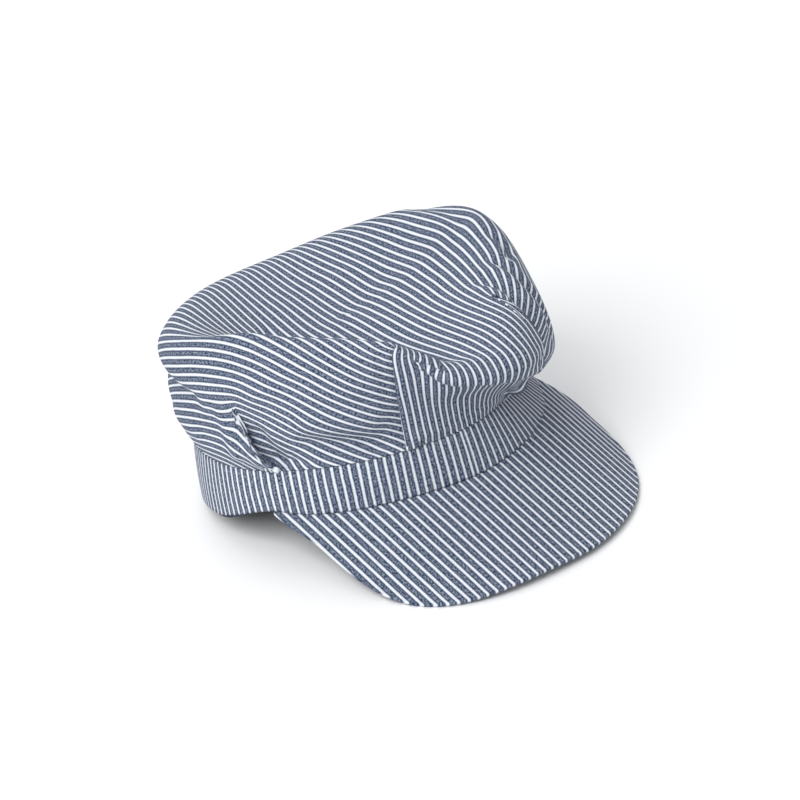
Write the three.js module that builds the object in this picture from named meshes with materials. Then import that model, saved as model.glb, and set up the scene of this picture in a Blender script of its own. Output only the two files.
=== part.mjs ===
// A soft railroad cap of hickory-stripe cloth: a puffed, slumped crown over a straight band,
// a navy tape inside the band, and a long stiff brim arched from side to side.
// Units are millimetres. +Z is up, the cap faces -Y, and the wearer's left is +X.
import * as THREE from "three";

// Head opening and band
const BAND_HALF_WIDTH = 89; // outside, ear to ear
const BAND_HALF_LENGTH = 89; // outside, front to back
const BAND_HEIGHT = 24;
const BAND_WALL = 2.2; // two layers of cloth and the seam allowance
const BAND_COLUMNS = 120;
const GATHER_COUNT = 26; // gathers that a full turn would hold: only the elastic back shows them
const GATHER_DEPTH = 1.5;
const GATHER_START = 138; // degrees from the front to where the elastic begins
const GATHER_FADE = 14; // degrees over which the gathers rise to full depth
const SEAM_GAP = 0.3; // between pieces that are sewn to each other

// Tape sewn inside the band
const TAPE_WALL = 1.1;
const TAPE_DROP = 1.3; // how far it shows below the band, beside the brim
const TAPE_RISE = 1.5; // how far it stays above the band's lower edge at the elastic
const TAPE_HEIGHT = 21;

// Brim
const BRIM_LENGTH = 70.3; // along its slope, from the band's front to the front edge
const BRIM_FLARE = 2.4; // how far each side swings out from where it leaves the band
const BRIM_OFFSET = 5.5; // its middle lies to the wearer's left of the band's
const BRIM_THICKNESS = 2.2;
const BRIM_SLOPE = 26.5; // degrees below the band's plane
const BRIM_DROP_RIGHT = 20.8; // how far each side edge hangs below the middle
const BRIM_DROP_LEFT = 19.8;
const BRIM_BEND = 2.6; // exponent of the arch: higher is flatter in the middle
const BRIM_CORNER_RIGHT = 2.8; // exponent of the front outline: 2 is an ellipse
const BRIM_CORNER_LEFT = 1.88;
const BRIM_SWELL_LEFT = 6; // how far its left side swells out near the band
const BRIM_SIDE_START = 69; // degrees from the front to where its sides leave the band
const BRIM_SIDE_LENGTH = 34; // straight stretch of each side before the front outline
const BRIM_SIDE_SHARE = 0.17; // share of the edge's points on each straight side
const BRIM_COLUMNS = 48;
const BRIM_ROWS = 6;
const FOOT_FADE = 30; // degrees over which the band's lower edge comes back level behind the brim

// Crown
const CROWN_RADIUS = 92;
const CROWN_RISE = 80; // from the band's top to the level of the highest fold
const CROWN_WALL = 1.6;
const CROWN_TOP = 0.58; // height of the middle of the top, as a share of the rise
const CROWN_COLUMNS = 78; // besides the two at each pleat
const CROWN_ROWS = 22;
const SLUMP_REACH = 0.3; // share of the way up over which the crown comes away from the band
const PLEAT_SPREAD = 2.2; // degrees over which a pleat's step falls
const PLEAT_SWAY = 36; // degrees over which the cloth beside a pleat leans with it
const LIP_STEEPNESS = 1.65; // makes a lip's highest point as high as its depth says

// The cap lies on the corners of its brim and the back of its band, where the cloth is pressed.
const REST_PRESS = 0.8; // how much of the band's lower edge is pressed flat at the back
const REST_ROUNDS = 8; // rounds of levelling
const DEGREE = Math.PI / 180;

// Where the band has slumped back from the brim: its top edge moves in and down there.
const BAND_SLUMP = [
  // [angle, inward, drop], the last two as shares of BAND_HEIGHT
  [-150, 0, 0],
  [-100, 0.06, 0],
  [-78, 0.36, 0.02],
  [-60, 0.56, 0.05],
  [-44, 0.58, 0.07],
  [-28, 0.46, 0.07],
  [-15, 0.32, 0.05],
  [0, 0.18, 0.03],
  [14, 0.1, 0],
  [32, 0.02, 0],
  [60, 0, 0],
  [80, 0.03, 0],
  [105, 0.11, 0],
  [135, 0.06, 0],
];

// How far the band's lower edge bows down behind the brim.
const BAND_SAG = [
  // [angle, sag as a share of BAND_HEIGHT]
  [-180, 0],
  [-150, 0],
  [-105, 0.1],
  [-80, 0.02],
  [-66, 0],
  [66, 0],
  [80, 0.08],
  [95, 0.18],
  [110, 0.2],
  [128, 0.17],
  [150, 0],
];

// Sections of the crown by angle from the front, towards the wearer's right. Each holds six
// points of its profile from the band to the middle of the top: r is a share of CROWN_RADIUS
// and z a share of CROWN_RISE above the band.
const CROWN_SECTIONS = [
  // [angle, low wall r z, middle wall r z, shoulder r z, rim r z, inner slope r z, top r z]
  [-170, 0.98, 0.12, 1.0, 0.35, 0.98, 0.56, 0.89, 0.74, 0.72, 0.81, 0.42, 0.7],
  [-140, 1.0, 0.12, 1.02, 0.35, 1.0, 0.59, 0.92, 0.785, 0.75, 0.87, 0.45, 0.75],
  [-105, 1.03, 0.12, 1.05, 0.36, 1.03, 0.62, 0.96, 0.885, 0.8, 0.94, 0.48, 0.76],
  [-75, 0.99, 0.05, 1.05, 0.18, 1.05, 0.51, 0.965, 0.84, 0.81, 0.94, 0.46, 0.75],
  [-60, 0.96, 0.025, 1.04, 0.06, 1.08, 0.3, 0.99, 0.7, 0.83, 0.85, 0.46, 0.71],
  [-46, 0.93, 0.025, 1.03, 0.05, 1.11, 0.21, 1.05, 0.58, 0.85, 0.77, 0.46, 0.67],
  [-30, 0.92, 0.05, 0.99, 0.085, 1.11, 0.21, 1.12, 0.44, 0.92, 0.67, 0.49, 0.62],
  [-17, 0.94, 0.1, 0.97, 0.16, 1.11, 0.24, 1.18, 0.36, 1.02, 0.58, 0.52, 0.58],
  [0, 0.94, 0.1, 0.95, 0.21, 1.08, 0.31, 1.12, 0.39, 0.93, 0.46, 0.5, 0.49],
  [8, 0.95, 0.11, 0.96, 0.25, 1.05, 0.37, 1.08, 0.45, 0.9, 0.48, 0.5, 0.48],
  [14, 0.955, 0.13, 0.97, 0.32, 1.0, 0.49, 1.02, 0.58, 0.88, 0.54, 0.49, 0.48],
  [20, 0.96, 0.14, 0.99, 0.36, 1.0, 0.58, 1.0, 0.7, 0.87, 0.62, 0.48, 0.48],
  [34, 0.96, 0.13, 1.0, 0.34, 1.01, 0.56, 0.92, 0.76, 0.74, 0.67, 0.44, 0.49],
  [52, 0.98, 0.13, 1.01, 0.33, 1.0, 0.56, 0.9, 0.82, 0.72, 0.69, 0.42, 0.52],
  [70, 0.99, 0.13, 0.99, 0.3, 1.0, 0.58, 0.9, 0.86, 0.72, 0.73, 0.42, 0.54],
  [95, 0.99, 0.11, 1.0, 0.28, 1.02, 0.54, 0.95, 0.79, 0.77, 0.76, 0.42, 0.57],
  [125, 0.99, 0.11, 0.99, 0.27, 1.02, 0.51, 0.99, 0.7, 0.82, 0.79, 0.42, 0.63],
  [155, 0.98, 0.12, 0.98, 0.32, 1.0, 0.54, 0.94, 0.73, 0.76, 0.79, 0.42, 0.68],
];

// Pleats, where one stretch of cloth laps over the next. The line gives degrees from the front at
// shares of the way up, and over is 1 where the cloth on top lies at greater angles. Lift is a
// share of CROWN_RADIUS, raised the share of it that the upper cloth takes, reach the degrees
// over which the step levels out, and fade the share of the way up over which it closes.
const PLEATS = [
  { line: [[0, 21.5], [0.3, 21.5], [0.6, 19]], over: -1, lift: 0.054, raised: 0.5, reach: 20, fade: 0.18 },
  { line: [[0, -40], [0.25, -40], [0.72, -22]], over: 1, lift: 0.043, raised: 0.5, reach: 20, fade: 0.18 },
  { line: [[0, 64], [0.2, 70], [0.4, 74]], over: 1, lift: 0.09, raised: 0.3, reach: 10, fade: 0.3 },
  { line: [[0, 154], [0.42, 152]], over: 1, lift: 0.027, raised: 0.5, reach: 20, fade: 0.18 },
  { line: [[0, -154], [0.42, -152]], over: -1, lift: 0.027, raised: 0.5, reach: 20, fade: 0.18 },
];

// Folds pressed into the crown. Each runs along a line of points of the cloth, given as degrees
// from the front and a share of the way from the band to the middle of the top. Width is a share
// of CROWN_RADIUS and depth a share of CROWN_WALL: positive is a ridge. A lip is raised above its
// line and pressed in below it.
const CROWN_FOLDS = [
  {
    line: [[19, 0.6], [14, 0.53], [8, 0.485], [0, 0.465], [-12, 0.44], [-36, 0.4], [-50, 0.38]],
    width: 0.049,
    depth: 2.1,
    lip: true,
  },
  { line: [[58, 0.2], [24, 0.07]], width: 0.065, depth: -1.6 },
  { line: [[56, 0.3], [24, 0.2]], width: 0.076, depth: 1.4 },
  { line: [[72, 0.36], [56, 0.46], [40, 0.5]], width: 0.076, depth: 1 },
  { line: [[134, 0.44], [86, 0.36]], width: 0.076, depth: -2.8 },
  { line: [[128, 0.27], [92, 0.24]], width: 0.065, depth: 1.2 },
  { line: [[20, 0.62], [42, 0.84], [130, 0.86]], width: 0.065, depth: -2 },
  { line: [[-24, 0.55], [28, 0.72]], width: 0.076, depth: 1.8 },
  { line: [[-120, 0.62], [-60, 0.8]], width: 0.087, depth: -1.8 },
  { line: [[120, 0.3], [140, 0.05]], width: 0.098, depth: -2 },
  { line: [[-160, 0.45], [-130, 0.1]], width: 0.098, depth: -2 },
];

// A smooth step from 0 at or below "from" to 1 at or above "to".
function smoothStep(from, to, value) {
  const share = Math.min(1, Math.max(0, (value - from) / (to - from)));
  return share * share * (3 - 2 * share);
}

// Brings an angle in degrees to the range -180 to 180.
function wrapAngle(angle) {
  return wrapTurn(angle + 180) - 180;
}

// Reads a table whose rows start with an angle, smoothly between its rows, all the way round.
function readRound(table, angle) {
  const count = table.length;
  const turned = wrapAngle(angle);
  const found = table.findIndex((row) => row[0] > turned);
  const after = found < 0 ? count : found;
  const rows = [-2, -1, 0, 1].map((step) => table[(after + step + count) % count]);
  const spans = [0, 1, 2].map((k) => wrapTurn(rows[k + 1][0] - rows[k][0]));
  const share = wrapTurn(turned - rows[1][0]) / spans[1];
  return rows[0].slice(1).map((_, k) => {
    const [a, b, c, d] = rows.map((row) => row[k + 1]);
    const slopeB = ((c - a) / (spans[0] + spans[1])) * spans[1];
    const slopeC = ((d - b) / (spans[1] + spans[2])) * spans[1];
    return hermite(b, c, slopeB, slopeC, share);
  });
}

// Brings an angle in degrees to the range 0 to 360.
function wrapTurn(angle) {
  return ((angle % 360) + 360) % 360;
}

// A cubic from a to b with the given slopes.
function hermite(a, b, slopeA, slopeB, t) {
  const t2 = t * t;
  const t3 = t2 * t;
  return (
    a * (2 * t3 - 3 * t2 + 1) + slopeA * (t3 - 2 * t2 + t) + b * (3 * t2 - 2 * t3) + slopeB * (t3 - t2)
  );
}

// The place of a fold or pleat at a value of its first column, straight between its points.
function readLine(line, value) {
  const next = line.findIndex((row) => row[0] > value);
  if (next === 0) return line[0][1];
  if (next < 0) return line[line.length - 1][1];
  const [from, to] = [line[next - 1], line[next]];
  return from[1] + ((to[1] - from[1]) * (value - from[0])) / (to[0] - from[0]);
}

// A point at an angle from the front, towards the wearer's right, at a radius and height.
function polarPoint(angle, radius, z) {
  return new THREE.Vector3(
    -radius * Math.sin(angle * DEGREE),
    -radius * Math.cos(angle * DEGREE),
    z,
  );
}

// Radius of the band's outside at an angle, inset by the given amount, with no gathers.
function ovalRadius(angle, inset) {
  const width = BAND_HALF_WIDTH - inset;
  const length = BAND_HALF_LENGTH - inset;
  return 1 / Math.hypot(Math.sin(angle * DEGREE) / width, Math.cos(angle * DEGREE) / length);
}

// How far the elastic's gathers push the band in or out at an angle.
function gatherAt(angle) {
  const strength = smoothStep(GATHER_START, GATHER_START + GATHER_FADE, Math.abs(wrapAngle(angle)));
  return strength * GATHER_DEPTH * Math.cos(GATHER_COUNT * angle * DEGREE);
}

// Where the brim's side leaves the band, to the wearer's right, and half the brim's width.
const BRIM_JOINT = polarPoint(BRIM_SIDE_START, ovalRadius(BRIM_SIDE_START, 0), 0);
const BRIM_HALF_WIDTH = Math.abs(BRIM_JOINT.x) + BRIM_FLARE;

// Height of the brim's upper face above the band's plane.
function brimHeight(x, y) {
  const side = (x - BRIM_OFFSET) / BRIM_HALF_WIDTH;
  const drop = side < 0 ? BRIM_DROP_RIGHT : BRIM_DROP_LEFT;
  const arch = drop * Math.pow(Math.abs(side), BRIM_BEND);
  const slope = BRIM_SLOPE * DEGREE;
  return -arch / Math.cos(slope) - (-y - BAND_HALF_LENGTH) * Math.tan(slope);
}

// How far the band's top edge has moved in at an angle, and how far down.
function slumpAt(angle) {
  return readRound(BAND_SLUMP, angle).map((share) => Math.max(0, share) * BAND_HEIGHT);
}

// Height of the band's lower edge at an inset: it follows the brim where the brim is sewn on.
function bandFoot(angle, inset) {
  const turned = wrapAngle(angle);
  const joined = Math.min(BRIM_SIDE_START, Math.max(-BRIM_SIDE_START, turned));
  const fadeStart = BRIM_SIDE_START + 2;
  const along = 1 - smoothStep(fadeStart, fadeStart + FOOT_FADE, Math.abs(turned));
  const edge = polarPoint(joined, ovalRadius(joined, inset), 0);
  const sag = readRound(BAND_SAG, angle)[0] * BAND_HEIGHT;
  return along * (brimHeight(edge.x, edge.y) + SEAM_GAP) - sag;
}

// A point of the band's wall at an inset, or of a wall inside it. Up is a share of its height.
function bandPoint(angle, inset, up) {
  const [inward, drop] = slumpAt(angle);
  const foot = bandFoot(angle, inset);
  const radius = ovalRadius(angle, inset) + gatherAt(angle) - inward * up;
  return polarPoint(angle, radius, foot + (BAND_HEIGHT - foot - drop) * up);
}

// A closed solid from a grid of sections, each a closed loop of points, that turns full circle.
function ringSolid(sections) {
  const loop = sections[0].length;
  const positions = sections.flat().flatMap((point) => point.toArray());
  const faces = [];
  sections.forEach((_, i) => {
    const next = (i + 1) % sections.length;
    for (let j = 0; j < loop; j += 1) {
      const after = (j + 1) % loop;
      const a = i * loop + j;
      const b = next * loop + j;
      const c = next * loop + after;
      const d = i * loop + after;
      faces.push(a, c, b, a, d, c);
    }
  });
  return indexedGeometry(positions, faces);
}

// A BufferGeometry from flat positions and faces, with normals.
function indexedGeometry(positions, faces) {
  const geometry = new THREE.BufferGeometry();
  geometry.setAttribute("position", new THREE.Float32BufferAttribute(positions, 3));
  geometry.setIndex(faces);
  geometry.computeVertexNormals();
  return geometry;
}

// The band: an upright wall, gathered by elastic at the back.
function bandGeometry() {
  const sections = [];
  for (let i = 0; i < BAND_COLUMNS; i += 1) {
    const angle = (360 * i) / BAND_COLUMNS;
    const outer = [0, 0.5, 1].map((up) => bandPoint(angle, 0, up));
    const inner = [1, 0.5, 0].map((up) => bandPoint(angle, BAND_WALL, up));
    sections.push([...outer, ...inner]);
  }
  return ringSolid(sections);
}

// The tape: a thinner wall inside the band. It shows below the band beside the brim only.
function tapeGeometry() {
  const sections = [];
  for (let i = 0; i < BAND_COLUMNS; i += 1) {
    const angle = (360 * i) / BAND_COLUMNS;
    const turned = Math.abs(wrapAngle(angle));
    const shown = smoothStep(BRIM_SIDE_START + 2, BRIM_SIDE_START + 10, turned);
    const elastic = smoothStep(GATHER_START - 20, GATHER_START, turned);
    const drop = TAPE_DROP * shown - (TAPE_DROP + TAPE_RISE) * elastic;
    const [low, high] = [-drop / BAND_HEIGHT, TAPE_HEIGHT / BAND_HEIGHT];
    const inset = BAND_WALL + SEAM_GAP;
    const outer = [low, (low + high) / 2, high].map((up) => bandPoint(angle, inset, up));
    const inner = [high, low].map((up) => bandPoint(angle, inset + TAPE_WALL, up));
    sections.push([...outer, ...inner]);
  }
  return ringSolid(sections);
}

// Plan position of the brim's outer edge, from one joint with the band (share 0) to the other.
function brimEdge(share) {
  const front = -BAND_HALF_LENGTH - BRIM_LENGTH * Math.cos(BRIM_SLOPE * DEGREE);
  const corner = BRIM_JOINT.y - BRIM_SIDE_LENGTH;
  const half = share < 0.5 ? share : 1 - share;
  const sign = share < 0.5 ? -1 : 1;
  if (half < BRIM_SIDE_SHARE) {
    const along = half / BRIM_SIDE_SHARE;
    const start = Math.abs(BRIM_JOINT.x) - sign * BRIM_OFFSET;
    const swell = share < 0.5 ? 0 : BRIM_SWELL_LEFT * 6.75 * along * (1 - along) ** 2;
    const reach = start + (BRIM_HALF_WIDTH - start) * smoothStep(0, 1, along) + swell;
    return [BRIM_OFFSET + sign * reach, BRIM_JOINT.y + (corner - BRIM_JOINT.y) * along];
  }
  const turn = (90 * DEGREE * (half - BRIM_SIDE_SHARE)) / (0.5 - BRIM_SIDE_SHARE);
  const bend = 2 / (share < 0.5 ? BRIM_CORNER_RIGHT : BRIM_CORNER_LEFT);
  const across = Math.pow(Math.cos(turn), bend);
  const ahead = Math.pow(Math.sin(turn), bend);
  return [BRIM_OFFSET + sign * BRIM_HALF_WIDTH * across, corner + (front - corner) * ahead];
}

// The brim: a sheet between the band's lower edge and its own outline, arched from side to side.
function brimGeometry() {
  const columns = BRIM_COLUMNS + 1;
  const rows = BRIM_ROWS + 1;
  const upper = [];
  const lower = [];
  for (let i = 0; i < columns; i += 1) {
    const share = i / BRIM_COLUMNS;
    const angle = BRIM_SIDE_START * (1 - 2 * share);
    const inner = polarPoint(angle, ovalRadius(angle, BAND_WALL), 0);
    const [edgeX, edgeY] = brimEdge(share);
    for (let j = 0; j < rows; j += 1) {
      // The sides leave the band at a joint, where the brim keeps a little depth.
      const along = j / BRIM_ROWS;
      const x = inner.x + (edgeX - inner.x) * along;
      const y = inner.y + (edgeY - inner.y) * along;
      const z = brimHeight(x, y);
      upper.push(x, y, z);
      lower.push(x, y, z - BRIM_THICKNESS);
    }
  }
  const faces = [];
  const under = columns * rows;
  const quad = (a, b, c, d) => faces.push(a, b, c, a, c, d);
  for (let i = 0; i < BRIM_COLUMNS; i += 1) {
    for (let j = 0; j < BRIM_ROWS; j += 1) {
      const a = i * rows + j;
      const b = a + 1;
      const c = b + rows;
      const d = a + rows;
      quad(a, b, c, d);
      quad(under + d, under + c, under + b, under + a);
    }
    const first = i * rows;
    const last = first + BRIM_ROWS;
    quad(first + rows, under + first + rows, under + first, first);
    quad(last, under + last, under + last + rows, last + rows);
  }
  for (let j = 0; j < BRIM_ROWS; j += 1) {
    const end = BRIM_COLUMNS * rows + j;
    quad(j + 1, j, under + j, under + j + 1);
    quad(end, end + 1, under + end + 1, under + end);
  }
  return indexedGeometry([...upper, ...lower], faces);
}

// How far a place of the cloth is from a fold's line, and how much the fold pushes it.
function foldPush(fold, angle, share) {
  const perDegree = DEGREE * CROWN_RADIUS * Math.max(0.25, 1 - 0.9 * Math.max(0, share - 0.6));
  const perShare = CROWN_RADIUS + CROWN_RISE;
  const pieces = fold.line.length - 1;
  let best = { away: Infinity, above: 0, along: 0 };
  for (let k = 0; k < pieces; k += 1) {
    const [from, to] = [fold.line[k], fold.line[k + 1]];
    const ax = wrapAngle(angle - from[0]) * perDegree;
    const ay = (share - from[1]) * perShare;
    const bx = wrapAngle(to[0] - from[0]) * perDegree;
    const by = (to[1] - from[1]) * perShare;
    const along = Math.min(1, Math.max(0, (ax * bx + ay * by) / (bx * bx + by * by)));
    const away = Math.hypot(ax - bx * along, ay - by * along);
    if (away < best.away) best = { away, above: Math.sign(ay - by * along), along: k + along };
  }
  const reach = best.away / (fold.width * CROWN_RADIUS);
  const place = best.along / pieces;
  const ends = smoothStep(0, 0.22, place) * (1 - smoothStep(0.78, 1, place));
  const shape = fold.lip ? LIP_STEEPNESS * best.above * reach : 1;
  return fold.depth * CROWN_WALL * shape * Math.exp(-reach * reach) * ends;
}

// How far the pleats push a place of the cloth out or in.
function pleatPush(angle, share) {
  let push = 0;
  for (const pleat of PLEATS) {
    const away = wrapAngle(angle - readLine(pleat.line, share));
    const upper = smoothStep(-PLEAT_SPREAD / 2, PLEAT_SPREAD / 2, away * pleat.over);
    const top = pleat.line[pleat.line.length - 1][0];
    const held = smoothStep(0, 0.07, share) * (1 - smoothStep(top - pleat.fade, top + 0.02, share));
    const step = upper * pleat.raised - (1 - upper) * (1 - pleat.raised);
    push += pleat.lift * CROWN_RADIUS * step * held * Math.exp(-((away / pleat.reach) ** 2));
  }
  return push;
}

// A point of the crown's outer face. Share runs from 0 at the band to 1 at the middle of the top.
function crownPoint(angle, share) {
  const section = readRound(CROWN_SECTIONS, angle);
  const radii = [ovalRadius(angle, 0) - SEAM_GAP];
  const heights = [0];
  for (let k = 0; k < section.length; k += 2) {
    radii.push(section[k] * CROWN_RADIUS);
    heights.push(section[k + 1] * CROWN_RISE);
  }
  radii.push(0);
  heights.push(CROWN_TOP * CROWN_RISE);
  const last = radii.length - 1;
  const place = Math.min(last - 1e-9, Math.max(0, share * last));
  const k = Math.floor(place);
  const read = (list, mirror) => {
    const before = k > 0 ? list[k - 1] : 2 * list[0] - list[1];
    const beyond = k + 2 <= last ? list[k + 2] : mirror * list[last - 1];
    return hermite(list[k], list[k + 1], (list[k + 1] - before) / 2, (beyond - list[k]) / 2, place - k);
  };
  const [inward, drop] = slumpAt(angle);
  const loose = 1 - smoothStep(0, SLUMP_REACH, share);
  let radius = read(radii, -1) - inward * loose + pleatPush(angle, share);
  let height = Math.max(0, read(heights, 1)) - drop * loose;
  const upright = 1 - smoothStep(0.45, 0.7, share);
  const held = smoothStep(0, 0.06, share);
  for (const fold of CROWN_FOLDS) {
    const push = foldPush(fold, angle, share) * held;
    radius += push * upright;
    height += push * (1 - upright);
  }
  return polarPoint(angle, radius, BAND_HEIGHT + SEAM_GAP + height);
}

// The angles of the crown's columns at the band: even ones, and two at each pleat.
function crownColumns() {
  const even = Array.from({ length: CROWN_COLUMNS }, (_, i) => wrapAngle((360 * i) / CROWN_COLUMNS));
  const feet = PLEATS.map((pleat) => pleat.line[0][1]);
  const clear = even.filter((angle) => feet.every((at) => Math.abs(wrapAngle(angle - at)) > PLEAT_SPREAD));
  const edges = feet.flatMap((at) => [at - PLEAT_SPREAD / 2, at + PLEAT_SPREAD / 2]);
  return [...clear, ...edges].sort((a, b) => a - b);
}

// The angle that a column has reached at a share of the way up, leaning with the pleats near it.
function leaningAngle(column, share) {
  return PLEATS.reduce((angle, pleat) => {
    const foot = pleat.line[0][1];
    const near = 1 - smoothStep(PLEAT_SPREAD, PLEAT_SWAY, Math.abs(wrapAngle(column - foot)));
    return angle + (readLine(pleat.line, share) - foot) * near;
  }, column);
}

// The crown: a cloth wall between the outer face and the same face set in by its thickness.
function crownGeometry() {
  const outer = [];
  const inner = [];
  const step = 0.4 / CROWN_ROWS;
  const columns = crownColumns();
  for (const column of columns) {
    for (let j = 0; j < CROWN_ROWS; j += 1) {
      const share = j / CROWN_ROWS;
      const angle = leaningAngle(column, share);
      const point = crownPoint(angle, share);
      const around = crownPoint(angle + 1, share).sub(crownPoint(angle - 1, share));
      const along = crownPoint(angle, share + step).sub(crownPoint(angle, Math.max(0, share - step)));
      const normal = along.cross(around).normalize();
      if (j === 0) normal.setZ(0).normalize();
      outer.push(point);
      inner.push(point.clone().addScaledVector(normal, -CROWN_WALL));
    }
  }
  const top = crownPoint(0, 1);
  const points = [...outer, ...inner, top, top.clone().setZ(top.z - CROWN_WALL)];
  const under = outer.length;
  const crest = 2 * under;
  const faces = [];
  const quad = (a, b, c, d) => faces.push(a, b, c, a, c, d);
  for (let i = 0; i < columns.length; i += 1) {
    const here = i * CROWN_ROWS;
    const next = ((i + 1) % columns.length) * CROWN_ROWS;
    for (let j = 0; j < CROWN_ROWS - 1; j += 1) {
      quad(here + j, here + j + 1, next + j + 1, next + j);
      quad(under + next + j, under + next + j + 1, under + here + j + 1, under + here + j);
    }
    const end = CROWN_ROWS - 1;
    faces.push(here + end, crest, next + end);
    faces.push(under + next + end, crest + 1, under + here + end);
    quad(here, next, under + next, under + here);
  }
  return indexedGeometry(points.flatMap((point) => point.toArray()), faces);
}

// A named piece of the cap with its own material.
function piece(name, geometry, color, roughness) {
  const material = new THREE.MeshStandardMaterial({ color, roughness, metalness: 0 });
  const mesh = new THREE.Mesh(geometry, material);
  mesh.name = name;
  return mesh;
}

// The lowest of some points, as a point.
function lowestOf(points) {
  return points.reduce((low, point) => (point.z < low.z ? point : low));
}

// The points of a geometry.
function pointsOf(geometry) {
  const all = geometry.getAttribute("position");
  return Array.from({ length: all.count }, (_, i) => new THREE.Vector3().fromBufferAttribute(all, i));
}

// The turn and lift that set the cap level on both corners of its brim and the back of its band.
function restMatrix(brimPoints, bandPoints) {
  const matrix = new THREE.Matrix4();
  for (let round = 0; round < REST_ROUNDS; round += 1) {
    const place = (list) => list.map((point) => point.clone().applyMatrix4(matrix));
    const right = lowestOf(place(brimPoints.filter((point) => point.x < 0)));
    const left = lowestOf(place(brimPoints.filter((point) => point.x >= 0)));
    const back = lowestOf(place(bandPoints.filter((point) => point.y > 0)));
    const normal = left.clone().sub(back).cross(right.clone().sub(back)).normalize();
    if (normal.z < 0) normal.negate();
    const turn = new THREE.Quaternion().setFromUnitVectors(normal, new THREE.Vector3(0, 0, 1));
    matrix.premultiply(new THREE.Matrix4().makeRotationFromQuaternion(turn));
    const floor = right.clone().applyQuaternion(turn).z;
    matrix.premultiply(new THREE.Matrix4().makeTranslation(0, 0, -floor));
  }
  return matrix;
}

const crown = crownGeometry();
const band = bandGeometry();
const tape = tapeGeometry();
const brim = brimGeometry();

// The back of the band is let down by REST_PRESS, and then whatever is below the floor is pressed
// flat on it.
const bandPoints = pointsOf(band).map((point) => point.setZ(point.z + REST_PRESS));
const rest = restMatrix(pointsOf(brim), bandPoints);
const box = new THREE.Box3();
for (const geometry of [crown, band, tape, brim]) {
  geometry.applyMatrix4(rest);
  const points = geometry.getAttribute("position");
  for (let i = 0; i < points.count; i += 1) points.setZ(i, Math.max(0, points.getZ(i)));
  geometry.computeVertexNormals();
  geometry.computeBoundingBox();
  box.union(geometry.boundingBox);
}

// The middle of the outline from above is at the origin.
const middle = box.getCenter(new THREE.Vector3());
for (const geometry of [crown, band, tape, brim]) geometry.translate(-middle.x, -middle.y, 0);

const part = new THREE.Group();
part.add(
  piece("crown", crown, 0x8391ab, 0.9),
  piece("band", band, 0x8391ab, 0.9),
  piece("inner_tape", tape, 0x1d2c4a, 0.85),
  piece("brim", brim, 0x8391ab, 0.88),
);
export default part;
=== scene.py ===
"""A soft railroad cap of hickory-stripe cloth, lying on a plain pale floor.

The cap is built in its own frame, in millimetres: the middle of the band's lower edge is the
origin, +Z is up, the cap faces -Y and the wearer's left is +X. Each mesh is then turned and
lifted to the way the cap rests, and scaled to metres.
"""

from __future__ import annotations

import logging
from collections.abc import Sequence
from dataclasses import dataclass, field
from enum import Enum

import bpy
import numpy as np
from mathutils import Matrix, Vector

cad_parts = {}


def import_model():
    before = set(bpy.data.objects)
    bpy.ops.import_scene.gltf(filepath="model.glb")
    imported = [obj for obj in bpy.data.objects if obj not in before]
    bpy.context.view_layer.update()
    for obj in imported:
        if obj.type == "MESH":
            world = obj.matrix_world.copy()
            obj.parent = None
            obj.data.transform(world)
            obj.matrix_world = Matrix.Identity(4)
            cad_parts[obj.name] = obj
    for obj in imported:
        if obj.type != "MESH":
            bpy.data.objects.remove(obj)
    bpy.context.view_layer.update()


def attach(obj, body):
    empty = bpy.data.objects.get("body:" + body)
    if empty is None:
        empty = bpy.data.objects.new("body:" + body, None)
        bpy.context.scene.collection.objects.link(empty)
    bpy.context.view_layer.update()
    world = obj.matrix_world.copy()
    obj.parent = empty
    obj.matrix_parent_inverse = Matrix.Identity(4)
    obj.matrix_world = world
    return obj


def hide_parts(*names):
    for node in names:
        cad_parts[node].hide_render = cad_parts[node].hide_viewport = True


LOG = logging.getLogger("cap")
MM = 0.001
CLOTH_MAP = "Cloth"  # the UV map that holds each piece's cloth coordinates
STRIPE_PITCH = 4.35  # from one white line to the next, in millimetres
FRAME_PIXELS = 800  # the width of the photograph's frame
SWELL_SCALE = 6.75  # brings the peak of t * (1 - t) ** 2 to 1
HALF_WAVE = 3.14159  # half a turn of a sine
WALL_STEPS = (1.0, 0.66, 0.33, 0.0)  # the rows down the band's inner face

Colour = tuple[float, float, float, float]
Socket = bpy.types.NodeSocket


# Small geometry helpers


def smooth_step(low: float, high: float, value: np.ndarray | float) -> np.ndarray:
    """Eases from 0 at or below low to 1 at or above high.

    Args:
        low: where it starts to rise.
        high: where it reaches 1.
        value: where to read it.

    Returns:
        The eased share.
    """
    share = np.clip((np.asarray(value, float) - low) / (high - low), 0.0, 1.0)
    return share * share * (3.0 - 2.0 * share)


def wrap_angle(angle: np.ndarray | float) -> np.ndarray:
    """Brings degrees to the range -180 to 180."""
    return (np.asarray(angle, float) + 180.0) % 360.0 - 180.0


def wrap_turn(turn: np.ndarray) -> np.ndarray:
    """Brings radians to the range -pi to pi."""
    return (turn + np.pi) % (2.0 * np.pi) - np.pi


def unit(vectors: np.ndarray) -> np.ndarray:
    """Scales vectors on the last axis to a length of 1."""
    length = np.linalg.norm(vectors, axis=-1, keepdims=True)
    return vectors / np.maximum(length, 1e-12)


def polar(angle: np.ndarray, radius: np.ndarray, height: np.ndarray) -> np.ndarray:
    """Points at an angle from the front, towards the wearer's right.

    Args:
        angle: degrees from the front.
        radius: millimetres from the cap's middle line.
        height: millimetres above the band's lower edge.

    Returns:
        Points, with x, y and z on a new last axis.
    """
    turn = np.radians(angle)
    return np.stack(
        np.broadcast_arrays(-radius * np.sin(turn), -radius * np.cos(turn), height), axis=-1
    )


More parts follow.
